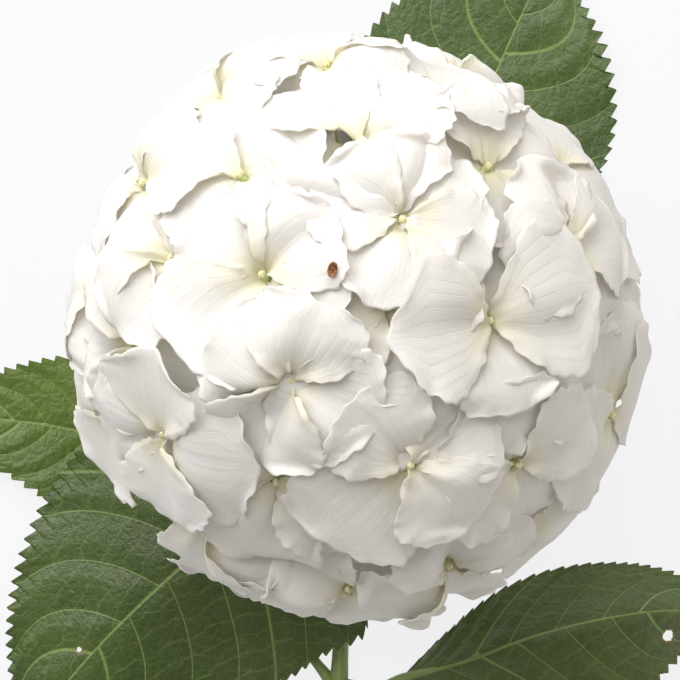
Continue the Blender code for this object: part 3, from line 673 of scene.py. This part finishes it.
# %% Shape of the bud and the pedicel
def curve_through(points, count):
    """Points evenly along a smooth curve through the given ones, by Catmull-Rom pieces, and its directions."""
    given = np.array(points, float)
    at = np.linspace(0, len(given) - 1, 24 * (len(given) - 1) + 1)
    dense = spline_weights(len(given), at) @ given
    run = np.concatenate([[0], np.cumsum(np.linalg.norm(np.diff(dense, axis=0), axis=1))])
    even = np.linspace(0, run[-1], count)
    line = np.stack([np.interp(even, run, dense[:, axis]) for axis in range(3)], axis=1)
    return line, unit(np.gradient(line, axis=0))


def add_bud(skin, floret, random, finish):
    """A dome of rings: the radius follows a rounded profile, pulled in at four seams."""
    profile = np.array([(0.9, 1.6), (1.25, 2.2), (1.35, 2.8), (1.15, 3.4), (0.7, 3.85), (0.25, 4.05)]) * MM
    rounded = spline_weights(len(profile), np.linspace(0, len(profile) - 1, 14)) @ profile
    rounded *= random.uniform(0.82, 1.0)
    line = floret["hub"] + rounded[:, 1:] * floret["axis"]
    ways = np.broadcast_to(floret["axis"], line.shape)
    rings = rings_along(line, ways, rounded[:, 0], 24, 0.07, 4)
    tube(skin, rings, finish=finish, tint=random.uniform(0, 1))


def add_pedicel(skin, floret, random, finish):
    """A stalk from the branch to the hub, as thin as a pin, which flares into the calyx under the sepals."""
    hub, axis, foot = floret["hub"], floret["axis"], floret["foot"]
    neck = hub - axis * 4 * MM
    sag = (foot + neck) / 2 + np.array([0, 0, -0.6 * MM])
    line, ways = curve_through([foot, sag, neck, hub, hub + axis * 1.8 * MM], 26)
    run = np.linspace(0, 1, 26)
    left = np.linalg.norm(line - hub, axis=1)
    radius = (0.62 + 0.16 * np.cos(run * 5) + 1.1 * np.exp(-((left / (1.9 * MM)) ** 2))) * MM
    tube(skin, rings_along(line, ways, radius, 10, 0.05, 3), finish=finish, tint=random.uniform(0, 1))


# %% [markdown]
# ## The white of the sepals
#
# White petals are white because air between their cells scatters light, so they are matt, a little see-through and
# never quite grey. The base is cream with a touch of green, and that colour runs out along the veins. The veins fan
# from the base, so they follow the piece's own map: lines of equal share across the blade, which spread as it does.
# Half of the look is light that comes through from behind, which a translucent share of the shader gives.


# %% Finish of the sepals
def petal_finish():
    """Matt white with cream at the base, fanned veins and some light passing through."""
    finish = Finish("sepal_white")
    aside, along, _ = finish.surface_map()
    tint = finish.attribute("tint")
    cloud = finish.noise(70.0, 4.0)
    wander = (finish.noise(160.0, 2.0) - 0.5) * 0.035
    fan = aside + wander * along
    main = (fan * 11.0).to_middle().between(0.39, 0.5)
    fine = ((fan + along * 0.02) * 33.0 + wander * 20).to_middle().between(0.34, 0.5)
    veins = main * 0.75 + fine * 0.4 * along.between(0.15, 0.5)
    base = along.between(0.52, 0.04)
    cream = base * (0.55 + tint * 0.6) + cloud * 0.10 - 0.05
    white = finish.mix(cloud, (0.915, 0.905, 0.882), (0.945, 0.940, 0.922))
    body = finish.mix(cream.below(0.85) * 0.9, white, (0.89, 0.86, 0.62))
    throat = along.between(0.18, 0.03)
    body = finish.mix(throat * 0.55, body, (0.74, 0.74, 0.36))
    veined = finish.mix(veins * 0.12, body, (0.80, 0.77, 0.64))
    crumple = finish.noise(420.0, 4.0, 0.6)
    relief = finish.bump(veins * -0.5 + cloud * 0.4 + crumple * 0.9, 0.00022, 0.8)
    skin_values = {
        "Base Color": veined,
        "Roughness": 0.52 + cloud * 0.18,
        "Normal": relief,
        "Sheen Weight": 0.12,
        "Sheen Roughness": 0.5,
        "Specular IOR Level": 0.35,
    }
    skin = finish.principled(skin_values)
    through = finish.node("ShaderNodeBsdfTranslucent", None, {"Color": (0.95, 0.92, 0.86, 1.0)})
    return finish.close(finish.node("ShaderNodeMixShader", None, {0: SEPAL_THROUGH, 1: skin, 2: through}))


def bud_finish():
    """Cream-green knob with a matt bloom and darker seams."""
    finish = Finish("bud_cream")
    around, _, _ = finish.surface_map()
    tint = finish.attribute("tint")
    cloud = finish.noise(400.0, 3.0)
    seams = (around * 4.0).to_middle().between(0.42, 0.5)
    colour = finish.mix(tint * 0.6 + cloud * 0.3, (0.72, 0.70, 0.34), (0.80, 0.76, 0.50))
    colour = finish.mix(seams * 0.5, colour, (0.42, 0.44, 0.16))
    relief = finish.bump(cloud - seams, 0.00025)
    values = {"Base Color": colour, "Roughness": 0.45 + cloud * 0.2, "Normal": relief, "Subsurface Weight": 0.1}
    values["Subsurface Radius"] = (0.002, 0.0015, 0.0005)
    return finish.close(finish.principled(values))


def stalk_finish(name, dark, light, streaks):
    """Fibrous green stalk: long streaks round it, small pale lenticels and a soft gloss."""
    finish = Finish(name)
    _, _, mapped = finish.surface_map()
    stretched = finish.node("ShaderNodeMapping", None, {"Vector": mapped, "Scale": (streaks, 3.0, 1.0)}, output=0)
    streak = finish.noise(2.0, 4.0, 0.6, stretched)
    cloud = finish.noise(90.0, 3.0)
    spots = finish.noise(520.0, 1.0).between(0.66, 0.74)
    colour = finish.mix(streak.between(0.3, 0.7) * 0.7 + cloud * 0.3, dark, light)
    colour = finish.mix(spots * 0.45, colour, (0.42, 0.40, 0.20))
    relief = finish.bump(streak + spots * 0.5, 0.0003, 0.7)
    values = {"Base Color": colour, "Roughness": 0.36 + cloud * 0.22, "Normal": relief}
    return finish.close(finish.principled(values))


WHITE = petal_finish()
CREAM = bud_finish()
PALE_GREEN = stalk_finish("pedicel_green", (0.40, 0.48, 0.17), (0.62, 0.68, 0.34), 5.0)
print("finishes of the florets:", WHITE.name, CREAM.name, PALE_GREEN.name)

# %% Make every floret
leans = []
for order, (node, floret) in enumerate(found.items()):
    random = np.random.default_rng(FLORET_SEED + order)
    skin = Skin()
    leans.append(lean_to_viewer(floret))
    add_sepals(skin, floret, random)
    add_bud(skin, floret, random, 1)
    add_pedicel(skin, floret, random, 2)
    piece = skin.make(f"petals_{node[-2:]}", [WHITE, CREAM, PALE_GREEN])
    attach(piece, BODY)
    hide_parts(node)
print("made", len(found), "florets of", len(piece.data.polygons), "faces, leaned up to", round(max(leans), 1))

# %% [markdown]
# ## A withered bud
#
# Near the middle of the head one bud has dried up: a brown scale, curled and crumpled, that lies on the sepals. It is
# a small sheet like a sepal, shrunk and rolled, whose height is measured on the finished florets from above.


# %% The withered bud
WITHERED_AT = (-6.7, 16.4)
WITHERED_SIZE = (2.1, 1.3)


def height_on_florets(x, y):
    """Height of the uppermost finished petal at a place over the table, by a ray from above."""
    scene.view_layers[0].update()
    graph = bpy.context.evaluated_depsgraph_get()
    struck, place, *_ = scene.ray_cast(graph, (x, y, HEAD[2] + 0.2), (0, 0, -1), distance=0.3)
    return place[2] if struck else HEAD[2]


def withered_finish():
    """Dry brown with darker wrinkles and a paler rim."""
    finish = Finish("withered_brown")
    _, along, _ = finish.surface_map()
    grain = finish.noise(900.0, 4.0, 0.65)
    colour = finish.mix(grain.between(0.35, 0.65), (0.16, 0.060, 0.020), (0.42, 0.21, 0.075))
    colour = finish.mix(along.between(0.75, 1.0) * 0.6, colour, (0.60, 0.42, 0.20))
    values = {"Base Color": colour, "Roughness": 0.7 + grain * 0.15, "Normal": finish.bump(grain, 0.0003)}
    return finish.close(finish.principled(values))


x, y = HEAD[0] + WITHERED_AT[0] * MM, HEAD[1] + WITHERED_AT[1] * MM
base_height = height_on_florets(x, y)
u, v = DISC_ALONG, DISC_ASIDE
curl = 1.5 * u**2 + 0.9 * v**2 + 0.25 * np.sin(7 * u + 5 * v) + 0.12 * np.sin(19 * v - 6 * u)
scale = np.stack([v * WITHERED_SIZE[1] + 0.3 * u, u * WITHERED_SIZE[0], curl + 0.35], axis=-1) * MM
skin = Skin()
flake = scale + [x, y, base_height]
flake_normals = sheet_normals(flake) * -1
thin_shell(skin, flake[:, ::-1], flake_normals[:, ::-1], 0.3 * MM, np.stack([v, u], axis=-1)[:, ::-1] / 2 + 0.5)
withered = skin.make("withered_bud", [withered_finish()])
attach(withered, BODY)
print("withered bud at height", round(base_height / MM, 1), "mm")

# %% [markdown]
# ## Leaves
#
# A hydrangea leaf is a broad oval with a pointed tip and a coarse saw-toothed margin. The midrib and the arching
# side veins are sunk into its upper side, and the blade puffs up between them. The blade could be cut from a plane
# with a picture of a leaf; here its outline is a skewed sine along the midrib's route, its teeth are a saw wave in
# the grid's outer columns, and its veins are distances worked out on the same grid. So the relief is real geometry,
# and the finish works out the same veins again from the blade's own map.

# %% Routes of the leaves, in millimetres from the head's centre, and height above the table
LEAVES = {
    "leaf_lower_left": {
        "petiole": ((-8, -40, 32.5), (-13, -43, 30)),
        "midrib": ((-13, -43, 30), (-37, -61, 22), (-62, -82, 16), (-88, -108, 10), (-110, -136, 3.2)),
        "half_width": 51,
        "fullness": 0.75,
        "left_share": 1.0,
        "left_lobe": 0.36,
        "slopes": (-0.14, -0.16),
    },
    "leaf_upper_right": {
        "petiole": ((5, -24, 18), (9.5, -7, 4.8), (14, 8, 1.6)),
        "midrib": ((14, 8, 1.6), (30, 43, 1.0), (46, 83, 1.2), (57, 108, 4), (65, 125, 3)),
        "half_width": 44,
        "fullness": 1.35,
        "left_share": 1.0,
        "left_lobe": 0.0,
        "slopes": (0.0, 0.0),
    },
    "leaf_left": {
        "petiole": ((-21, -98, 2.4), (-34, -73, 2.0), (-46, -55, 1.6)),
        "midrib": ((-46, -55, 1.6), (-68, -42, 1.5), (-92, -33, 2.5), (-118, -29, 5), (-141, -28, 1.6)),
        "half_width": 26,
        "fullness": 0.75,
        "left_share": 1.0,
        "left_lobe": 0.0,
        "slopes": (0.05, 0.03),
    },
    "leaf_lower_right": {
        "petiole": ((8, -117.5, 8.5), (16, -114, 12)),
        "midrib": ((16, -114, 12), (36, -107, 25), (58, -98, 33), (81, -92.5, 31), (104, -91, 20), (123, -95, 5)),
        "half_width": 32,
        "fullness": 1.1,
        "left_share": 0.74,
        "left_lobe": 0.0,
        "slopes": (-1.0, -0.32),
    },
}
NET_ALONG = 14
NET_ACROSS = np.linspace(-1, 1, 7)
TABLE_GAP = 0.1 * MM


def placed(route):
    """A route's points in the frame: from the head's centre in x and y, and height above the table in z."""
    return np.array(route, float) * MM + [HEAD[0], HEAD[1], -TABLE_GAP]


def leaf_width(along, leaf):
    """Half width of the oval blade in metres: a sine skewed by the leaf's fullness, with rounder ends."""
    rounded = np.sin(math.pi * np.clip(along, 0, 1) ** leaf["fullness"]) ** 0.85
    return rounded * leaf["half_width"] * MM


def side_stretch(leaf, along, across):
    """How far each point's half of the finished blade reaches out, where the plain blade's reach is 1: the left half
    has its own share, and may have a lobe near the base."""
    left = leaf["left_share"] + leaf["left_lobe"] * np.exp(-(((along[:, None] - 0.13) / 0.13) ** 2))
    return np.where(across > 0, left, 1.0)


def blade_places(leaf, rows, across, tooth=0.0, plain=False):
    """Places of the blade's points over the table, rows along the midrib by columns across it, and its midrib.

    A plain blade isn't stretched to its sides. A tooth, a number for each point in units of the pitch, pushes the
    point outwards and on towards the tip.
    """
    line, ways = curve_through(placed(leaf["midrib"]), rows)
    along = np.linspace(0, 1, rows)
    left = unit(np.cross([0.0, 0.0, 1.0], ways))
    width = leaf_width(along, leaf)[:, None] + tooth
    slope = np.where(across > 0, leaf["slopes"][0], leaf["slopes"][1])
    stretch = 1.0 if plain else side_stretch(leaf, along, across)
    run = width * across / np.sqrt(1 + slope**2) * stretch
    back = abs(across) * width * 0.12 - tooth * 0.9
    points = line[:, None] + run[..., None] * left[:, None] - back[..., None] * ways[:, None]
    return points, line, along


def blade_heights(node, leaf):
    """Heights of the plain blade's middle at its own rows and columns, read from its corners. The two sides of the
    blade have corners at the same place over the table, so the middle is their mean."""
    corners, _ = corners_of(node)
    points, line, _ = blade_places(leaf, NET_ALONG, NET_ACROSS[None], plain=True)
    inner = points[1:-1].reshape(-1, 3)
    apart = np.linalg.norm(inner[:, None, :2] - corners[None, :, :2], axis=2)
    near = apart < apart.min(axis=1, keepdims=True) + 0.05 * MM
    heights = (near * corners[:, 2]).sum(axis=1) / near.sum(axis=1)
    net = np.empty(points.shape[:2])
    net[1:-1] = heights.reshape(NET_ALONG - 2, -1)
    net[0], net[-1] = line[0, 2], line[-1, 2]
    print(node, "corners met within", round(apart.min(axis=1).max() / MM, 3), "mm")
    return net


# %% [markdown]
# The teeth are a saw wave in the length of the margin: each rises slowly and drops fast, and leans towards the tip.
# The side veins leave the midrib every two centimetres and arch forwards, so they are lines of equal value of the
# share along the midrib less a curve in the share across. Fainter rungs join them, and a fine net in the finish
# fills the rest.

# %% Shape of a leaf
BLADE_ROWS = 340
BLADE_COLUMNS = 71
BLADE_SKIN = 0.45 * MM
TOOTH_PITCH = 4.6 * MM
TOOTH_DEPTH = 2.7 * MM
SIDE_VEINS = 8.5


def saw_teeth(leaf, across, random):
    """Push of each grid point by the teeth: a saw wave along the margin that fades quickly inwards."""
    points, line, along = blade_places(leaf, BLADE_ROWS, across)
    push = np.zeros(points.shape[:2])
    for column, sign in ((0, -1), (-1, 1)):
        margin = points[:, column]
        run = np.concatenate([[0], np.cumsum(np.linalg.norm(np.diff(margin, axis=0), axis=1))])
        wander = 0.25 * np.sin(run / (11 * MM) + random.uniform(0, 6))
        phase = (run / TOOTH_PITCH + wander) % 1
        saw = np.minimum(phase / 0.72, (1 - phase) / 0.28)
        depth = TOOTH_DEPTH * np.clip(6 * along, 0, 1) * np.clip(8 * (1 - along), 0.3, 1)
        depth *= 0.85 + 0.3 * np.sin(run / (17 * MM))
        fade = np.clip(across * sign, 0, 1) ** 14
        push += (saw * depth)[:, None] * fade
    return push


def leaf_veins(leaf, along, across, width, length):
    """Strength of the veins from 0 to 1 and the distance to the nearest of the strong ones, in metres."""
    share = abs(across)
    aside = share * width[:, None]
    arch = along[:, None] - 0.15 * share - 0.11 * share**2 + 0.012 * np.sign(across)
    phase = arch * SIDE_VEINS + 0.10 * np.sin(arch * 40)
    to_side = abs(phase - np.round(phase)) / SIDE_VEINS * length * 0.8
    rib = np.exp(-((aside / ((0.35 + 0.85 * (1 - along[:, None])) * MM)) ** 2))
    side_reach = (0.22 + 0.42 * (1 - share)) * MM
    side = np.exp(-((to_side / side_reach) ** 2)) * (phase > -0.2) * (1 - 0.45 * share)
    rung_phase = aside / (5.2 * MM) + 0.35 * np.sin(phase * math.pi * 2) + 0.3 * np.sin(along[:, None] * 60)
    to_rung = abs(rung_phase - np.round(rung_phase)) * 5.2 * MM
    rung = 0.42 * np.exp(-((to_rung / (0.24 * MM)) ** 2)) * (share > 0.04)
    return np.maximum(np.maximum(rib, side), rung), np.minimum(aside, to_side), to_rung


def leaf_skin(node, leaf, random):
    """The whole leaf: a toothed, puffed blade on the plain blade's heights, and its petiole and midrib."""
    across = np.sin(np.linspace(-1, 1, BLADE_COLUMNS) * math.pi / 2)[None]
    tooth = saw_teeth(leaf, across, random)
    points, line, along = blade_places(leaf, BLADE_ROWS, across, tooth)
    net = blade_heights(node, leaf)
    down = spline_weights(NET_ALONG, along * (NET_ALONG - 1))
    over = spline_weights(len(NET_ACROSS), (across * side_stretch(leaf, along, across) + 1) * 3)
    heights = np.einsum("ri,ij,rcj->rc", down, net, over)
    width = leaf_width(along, leaf)
    length = np.linalg.norm(np.diff(line, axis=0), axis=1).sum()
    veins, to_vein, to_rung = leaf_veins(leaf, along, across, width, length)
    puff = 0.75 * (1 - np.exp(-((to_vein / (4.5 * MM)) ** 2)))
    puff += 0.12 * (1 - np.exp(-((to_rung / (1.2 * MM)) ** 2)))
    sway = 0.9 * across**2 * np.sin(along[:, None] * 17 + random.uniform(0, 6) + 1.5 * np.sign(across))
    points[..., 2] = heights + (puff - 0.30 * veins - 0.35 + sway * abs(across)) * MM
    points[..., 2] = np.maximum(points[..., 2], BLADE_SKIN / 2 + 0.05 * MM)
    cut = slice(2, -1)
    places = np.stack(np.broadcast_arrays(across / 2 + 0.5, along[:, None]), axis=-1)
    skin = Skin()
    middle = points[cut]
    normals = sheet_normals(middle)
    normals *= np.sign(normals[..., 2:].mean())
    half_widths = np.broadcast_to(width[:, None], places.shape[:2])[cut]
    thin_shell(skin, middle, normals, BLADE_SKIN, places[cut], (0, 1), half_widths)
    return skin, points, length


def add_petiole(skin, node, leaf, points, finish):
    """The petiole from the stem to the blade, running on under the blade as its midrib, thinner and thinner."""
    corners, _ = corners_of(node)
    route = placed(leaf["petiole"])
    start = corners[np.argmin(np.linalg.norm(corners - STEM_AT[node], axis=1))]
    start = STEM_AT[node] + unit(start - STEM_AT[node]) * 2.9 * MM
    rib = points[:, BLADE_COLUMNS // 2]
    picked = rib[[int(share * (BLADE_ROWS - 1)) for share in (0.12, 0.3, 0.5, 0.7, 0.88)]]
    line, ways = curve_through(np.concatenate([[start], route, picked]), 120)
    run = np.linspace(0, 1, 120)
    blade_start = np.argmin(np.linalg.norm(line - route[-1], axis=1)) / 119
    under = np.clip((run - blade_start) / (1 - blade_start), 0, 1)
    radius = (1.55 - 1.25 * under**0.6 + 0.5 * np.exp(-((run / 0.03) ** 2))) * MM
    line[:, 2] -= np.where(under > 0, radius * 0.75, 0) * np.clip(under * 12, 0, 1)
    line[:, 2] = np.maximum(line[:, 2], radius + 0.05 * MM)
    rings = rings_along(line, ways, radius, 16, 0.06, 2)
    tube(skin, rings, finish=finish, tint=0.5)


# %% [markdown]
# ## Green of the leaves
#
# The upper side is a deep, half-glossy green with lighter yellow-green veins, and the light lies on it as a pale
# sheen. Veins stored on the mesh's points would break up into dashes, so the finish works them out from the map with
# the relief's own formula, and they fall where the blade is sunk. A Voronoi pattern adds a fine net of cells. The
# under side is paler and matt, and each leaf has its own green. Two leaves have been nibbled: a hole is a round place
# where Alpha is 0, with a brown rim.


# %% Finish of the leaves
def vein_lines(finish, length):
    """Strength of the veins from 0 to 1, worked out from the blade's map as the relief is: the share across and the
    share along. The tint is the half width there, in metres."""
    aside, along, _ = finish.surface_map()
    half_width = finish.attribute("tint")
    across = aside * 2.0 - 1.0
    share_out = abs(across)
    out = share_out * half_width
    side_sign = finish.node("ShaderNodeMath", {"operation": "SIGN"}, {0: across})
    arch = along - share_out * 0.15 - share_out * share_out * 0.11 + side_sign * 0.012
    phase = arch * SIDE_VEINS + (arch * 40.0).sine() * 0.10
    to_side = (0.5 - phase.to_middle()) * (length * 0.8 / SIDE_VEINS)
    rib = (out / (1.25 - along)).between(0.0010, 0.0003)
    side = to_side.between(0.00042, 0.00008) * phase.between(-0.3, -0.1) * (1.0 - share_out * 0.35)
    drift = finish.noise(120.0, 2.0)
    rung_phase = out / 0.0058 + drift * 1.1 + phase * 0.8
    to_rung = (0.5 - rung_phase.to_middle()) * 0.0058
    rung = to_rung.between(0.0005, 0.0001) * 0.20
    return rib.above(side.above(rung))


def leaf_finish(name, deep, bright, vein_green, matt, length, hole):
    """Half-glossy blade with lighter veins, and a fine net of cells between them. A hole, if there is one, is a
    place over the table and a radius, eaten through the blade with a brown rim."""
    finish = Finish(name)
    strength = vein_lines(finish, length)
    place = finish.node("ShaderNodeTexCoord", output=3)
    cloud = finish.noise(26.0, 5.0, 0.6)
    wander = finish.node("ShaderNodeTexNoise", None, {"Vector": place, "Scale": 220.0, "Detail": 2.0}, output=1)
    bent = finish.node(
        "ShaderNodeVectorMath", {"operation": "MULTIPLY_ADD"}, {0: wander, 1: (0.004, 0.004, 0.004), 2: place}
    )
    cells = finish.node("ShaderNodeTexVoronoi", {"feature": "DISTANCE_TO_EDGE"}, {"Vector": bent, "Scale": 300.0})
    small = finish.node("ShaderNodeTexVoronoi", {"feature": "DISTANCE_TO_EDGE"}, {"Vector": bent, "Scale": 850.0})
    net = cells.between(0.06, 0.0) * 0.5 + small.between(0.06, 0.0) * 0.2
    blade = finish.mix(cloud.between(0.3, 0.7), deep, bright)
    netted = finish.mix(net * 0.22, blade, vein_green)
    veined = finish.mix(strength * 0.72, netted, vein_green)
    puffs = cells.between(0.0, 0.35) * 0.7 + small.between(0.0, 0.3) * 0.3
    relief = finish.bump(puffs - strength * 0.8, 0.00022, 0.7)
    values = {
        "Base Color": veined,
        "Roughness": matt + cloud * 0.14 + strength * 0.08,
        "Normal": relief,
        "Specular IOR Level": 0.5,
    }
    if hole:
        parts = finish.node("ShaderNodeSeparateXYZ", None, {0: place})
        x = parts - (HEAD[0] + hole[0] * MM)
        y = Value(finish, parts.socket.node.outputs[1]) - (HEAD[1] + hole[1] * MM)
        ragged = (finish.noise(700.0, 2.0) - 0.5) * 0.0016
        from_hole = (x * x + y * y) ** 0.5 + ragged
        rim = from_hole.between((hole[2] + 0.9) * MM, (hole[2] + 0.1) * MM)
        values["Base Color"] = finish.mix(rim * 0.85, veined, (0.22, 0.13, 0.035))
        values["Alpha"] = from_hole.between((hole[2] - 0.06) * MM, (hole[2] + 0.06) * MM)
    skin = finish.principled(values)
    if hole:  # what passes through would fill the hole, so a nibbled leaf goes without
        return finish.close(skin)
    through = finish.node("ShaderNodeBsdfTranslucent", None, {"Color": (0.14, 0.24, 0.03, 1.0)})
    return finish.close(finish.node("ShaderNodeMixShader", None, {0: LEAF_THROUGH, 1: skin, 2: through}))


# Each hole: its place from the head's centre and its radius, in millimetres.
HOLES = {"leaf_lower_left": (-90.4, -104.9, 0.9), "leaf_lower_right": (102.5, -99.5, 1.9)}


VEIN_GREEN = (0.24, 0.33, 0.09)
GREENS = {
    "leaf_lower_left": ((0.038, 0.066, 0.010), (0.060, 0.098, 0.017)),
    "leaf_upper_right": ((0.050, 0.088, 0.018), (0.078, 0.124, 0.028)),
    "leaf_left": ((0.080, 0.132, 0.018), (0.110, 0.172, 0.026)),
    "leaf_lower_right": ((0.046, 0.076, 0.012), (0.070, 0.106, 0.019)),
}
UNDERSIDE = ((0.13, 0.19, 0.085), (0.18, 0.24, 0.11), (0.34, 0.42, 0.19))
PETIOLE_GREEN = stalk_finish("petiole_green", (0.12, 0.19, 0.045), (0.24, 0.32, 0.10), 6.0)

# %% [markdown]
# ## Stem and branches
#
# The stem is green, ribbed and a little woody, with a swollen node where each pair of leaves grows, and a slanted
# cut that shows pale pith. Its route is the model's own. The branches spread from the crown at its top to the knobs
# that carry the pedicels.

# %% Route and shape of the stem
CROWN_DEPTH = 22 * MM
CROWN_RADIUS = 4.4 * MM
NECK_LENGTH = 24 * MM
STEM_RADIUS = 2.7 * MM
STEM_ROUTE = (
    (-2, -60, 17),
    (-4, -92, 7),
    (-5.5, -122, 4.4),
    (-12, -180, 3.1),
    (-22, -250, 3.0),
    (-29, -292, 3.0),
)
LEAF_NODES = (0.125, 0.415)
CUT_SLANT = 0.65
STEM_ROWS = 320
STEM_COLUMNS = 36

crown = HEAD - HEAD_AXIS * CROWN_DEPTH
stem_line, stem_ways = curve_through(
    np.concatenate([[crown, crown - HEAD_AXIS * NECK_LENGTH], placed(STEM_ROUTE)]), STEM_ROWS
)
share = np.linspace(0, 1, STEM_ROWS)
STEM_AT = {}
for node, leaf_node in zip(LEAVES, (LEAF_NODES[0], LEAF_NODES[0], LEAF_NODES[1], LEAF_NODES[1])):
    STEM_AT[node] = stem_line[round(leaf_node * (STEM_ROWS - 1))]


def stem_skin():
    """The crown's dome, then the ribbed stem with its two nodes, and the slanted cut with a rim round the pith."""
    swell = sum(np.exp(-(((share - at) / 0.02) ** 2)) for at in LEAF_NODES)
    top = np.exp(-((share * (STEM_ROWS / 9)) ** 2))
    radius = (STEM_RADIUS * (0.94 + 0.1 * share) + 0.45 * MM * swell) * (1 - top) + CROWN_RADIUS * top
    rings = rings_along(stem_line, stem_ways, radius, STEM_COLUMNS, 0.022, 6)
    way = stem_ways[-1]
    side = unit(np.cross([0.0, 0.0, 1.0], way))
    up = np.cross(way, side)
    lean = ((rings - stem_line[-1]) @ up)[..., None] * CUT_SLANT * way
    rings = rings + lean * (np.clip((share - 0.985) / 0.015, 0, 1) ** 2)[:, None, None]
    dome = np.array([(0.35, 0.95), (0.62, 0.78), (0.86, 0.46)])[::-1]
    caps = [stem_line[0] - stem_ways[0] * CROWN_RADIUS * rise for rise, _ in dome]
    rounds = rings_along(
        np.array(caps), np.repeat(stem_ways[:1], 3, axis=0), CROWN_RADIUS * dome[:, 1], STEM_COLUMNS, 0.022, 6
    )
    skin = Skin()
    body = np.concatenate([rounds, rings])
    tube(skin, body, ends=[stem_line[0] - stem_ways[0] * CROWN_RADIUS, stem_line[-1]], tint=0.3)
    return skin, rings[-1], way


def add_cut(skin, ring, way, finish):
    """The cut face: rings inside the last one, a touch sunk towards the pith."""
    middle = ring.mean(axis=0)
    steps = np.array([1.0, 0.86, 0.62, 0.36, 0.14])
    depth = np.array([-0.25, 0.03, 0.05, 0.02, -0.05]) * MM
    rings = middle + (ring - middle)[None] * steps[:, None, None] * 0.985 + depth[:, None, None] * way
    tube(skin, rings, finish=finish, tint=steps)


def branch_skin(node, direction):
    """A branch from the crown to its knob: a thin rod with soft ridges, swelling to the knob's round end."""
    knob = HEAD + direction * BRANCH_REACH
    way = unit(knob - crown)
    reach = np.linalg.norm(knob - crown)
    at = np.linspace(CROWN_RADIUS * 0.9, reach + KNOB_RADIUS * 0.96, 60)
    from_knob = (at - reach) / KNOB_RADIUS
    ball = np.sqrt(np.clip(1 - from_knob**2, 0, 1)) * KNOB_RADIUS
    rod = np.where(from_knob < 0, 1.42 * MM + 0.5 * MM * np.exp(-((at - at[0]) / (2 * MM)) ** 2), 0.02 * MM)
    radius = np.maximum(rod, ball)
    line = crown + at[:, None] * way
    skin = Skin()
    tube(skin, rings_along(line, np.broadcast_to(way, line.shape), radius, 24, 0.05, 5), tint=0.5)
    return skin


# %% Make the leaves
for order, (node, leaf) in enumerate(LEAVES.items()):
    random = np.random.default_rng(LEAF_SEED + order)
    skin, points, length = leaf_skin(node, leaf, random)
    add_petiole(skin, node, leaf, points, 2)
    deep, bright = GREENS[node]
    upper = leaf_finish(node + "_green", deep, bright, VEIN_GREEN, 0.34, length, HOLES.get(node))
    under = leaf_finish(node + "_underside", *UNDERSIDE, 0.6, length, HOLES.get(node))
    piece = skin.make("blade_" + node[5:], [upper, under, PETIOLE_GREEN])
    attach(piece, BODY)
    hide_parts(node)
    print(piece.name, len(piece.data.polygons), "faces")

# %% Make the stem and the branches
STEM_GREEN = stalk_finish("stem_green", (0.12, 0.18, 0.045), (0.26, 0.33, 0.11), 9.0)


def pith_finish():
    """Pale pith with a greenish ring of wood: the tint is the share of the radius."""
    finish = Finish("cut_pith")
    share_out = finish.attribute("tint")
    grain = finish.noise(900.0, 3.0)
    colour = finish.mix(share_out.between(0.55, 0.85) + grain * 0.2 - 0.1, (0.78, 0.75, 0.55), (0.36, 0.44, 0.18))
    values = {"Base Color": colour, "Roughness": 0.75 + grain * 0.1, "Normal": finish.bump(grain, 0.0003)}
    return finish.close(finish.principled(values))


skin, last_ring, cut_way = stem_skin()
add_cut(skin, last_ring, cut_way, 1)
stem = skin.make("cut_stem", [STEM_GREEN, pith_finish()])
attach(stem, BODY)
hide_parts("stem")
for node in BRANCHES:
    corners, _ = corners_of(node)
    far = corners[np.argmax(np.linalg.norm(corners - crown, axis=1))]
    direction = unit(far - HEAD)
    branch = branch_skin(node, direction).make("branch_" + node[-1], [PALE_GREEN])
    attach(branch, BODY)
    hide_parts(node)
print("stem and", len(BRANCHES), "branches made")
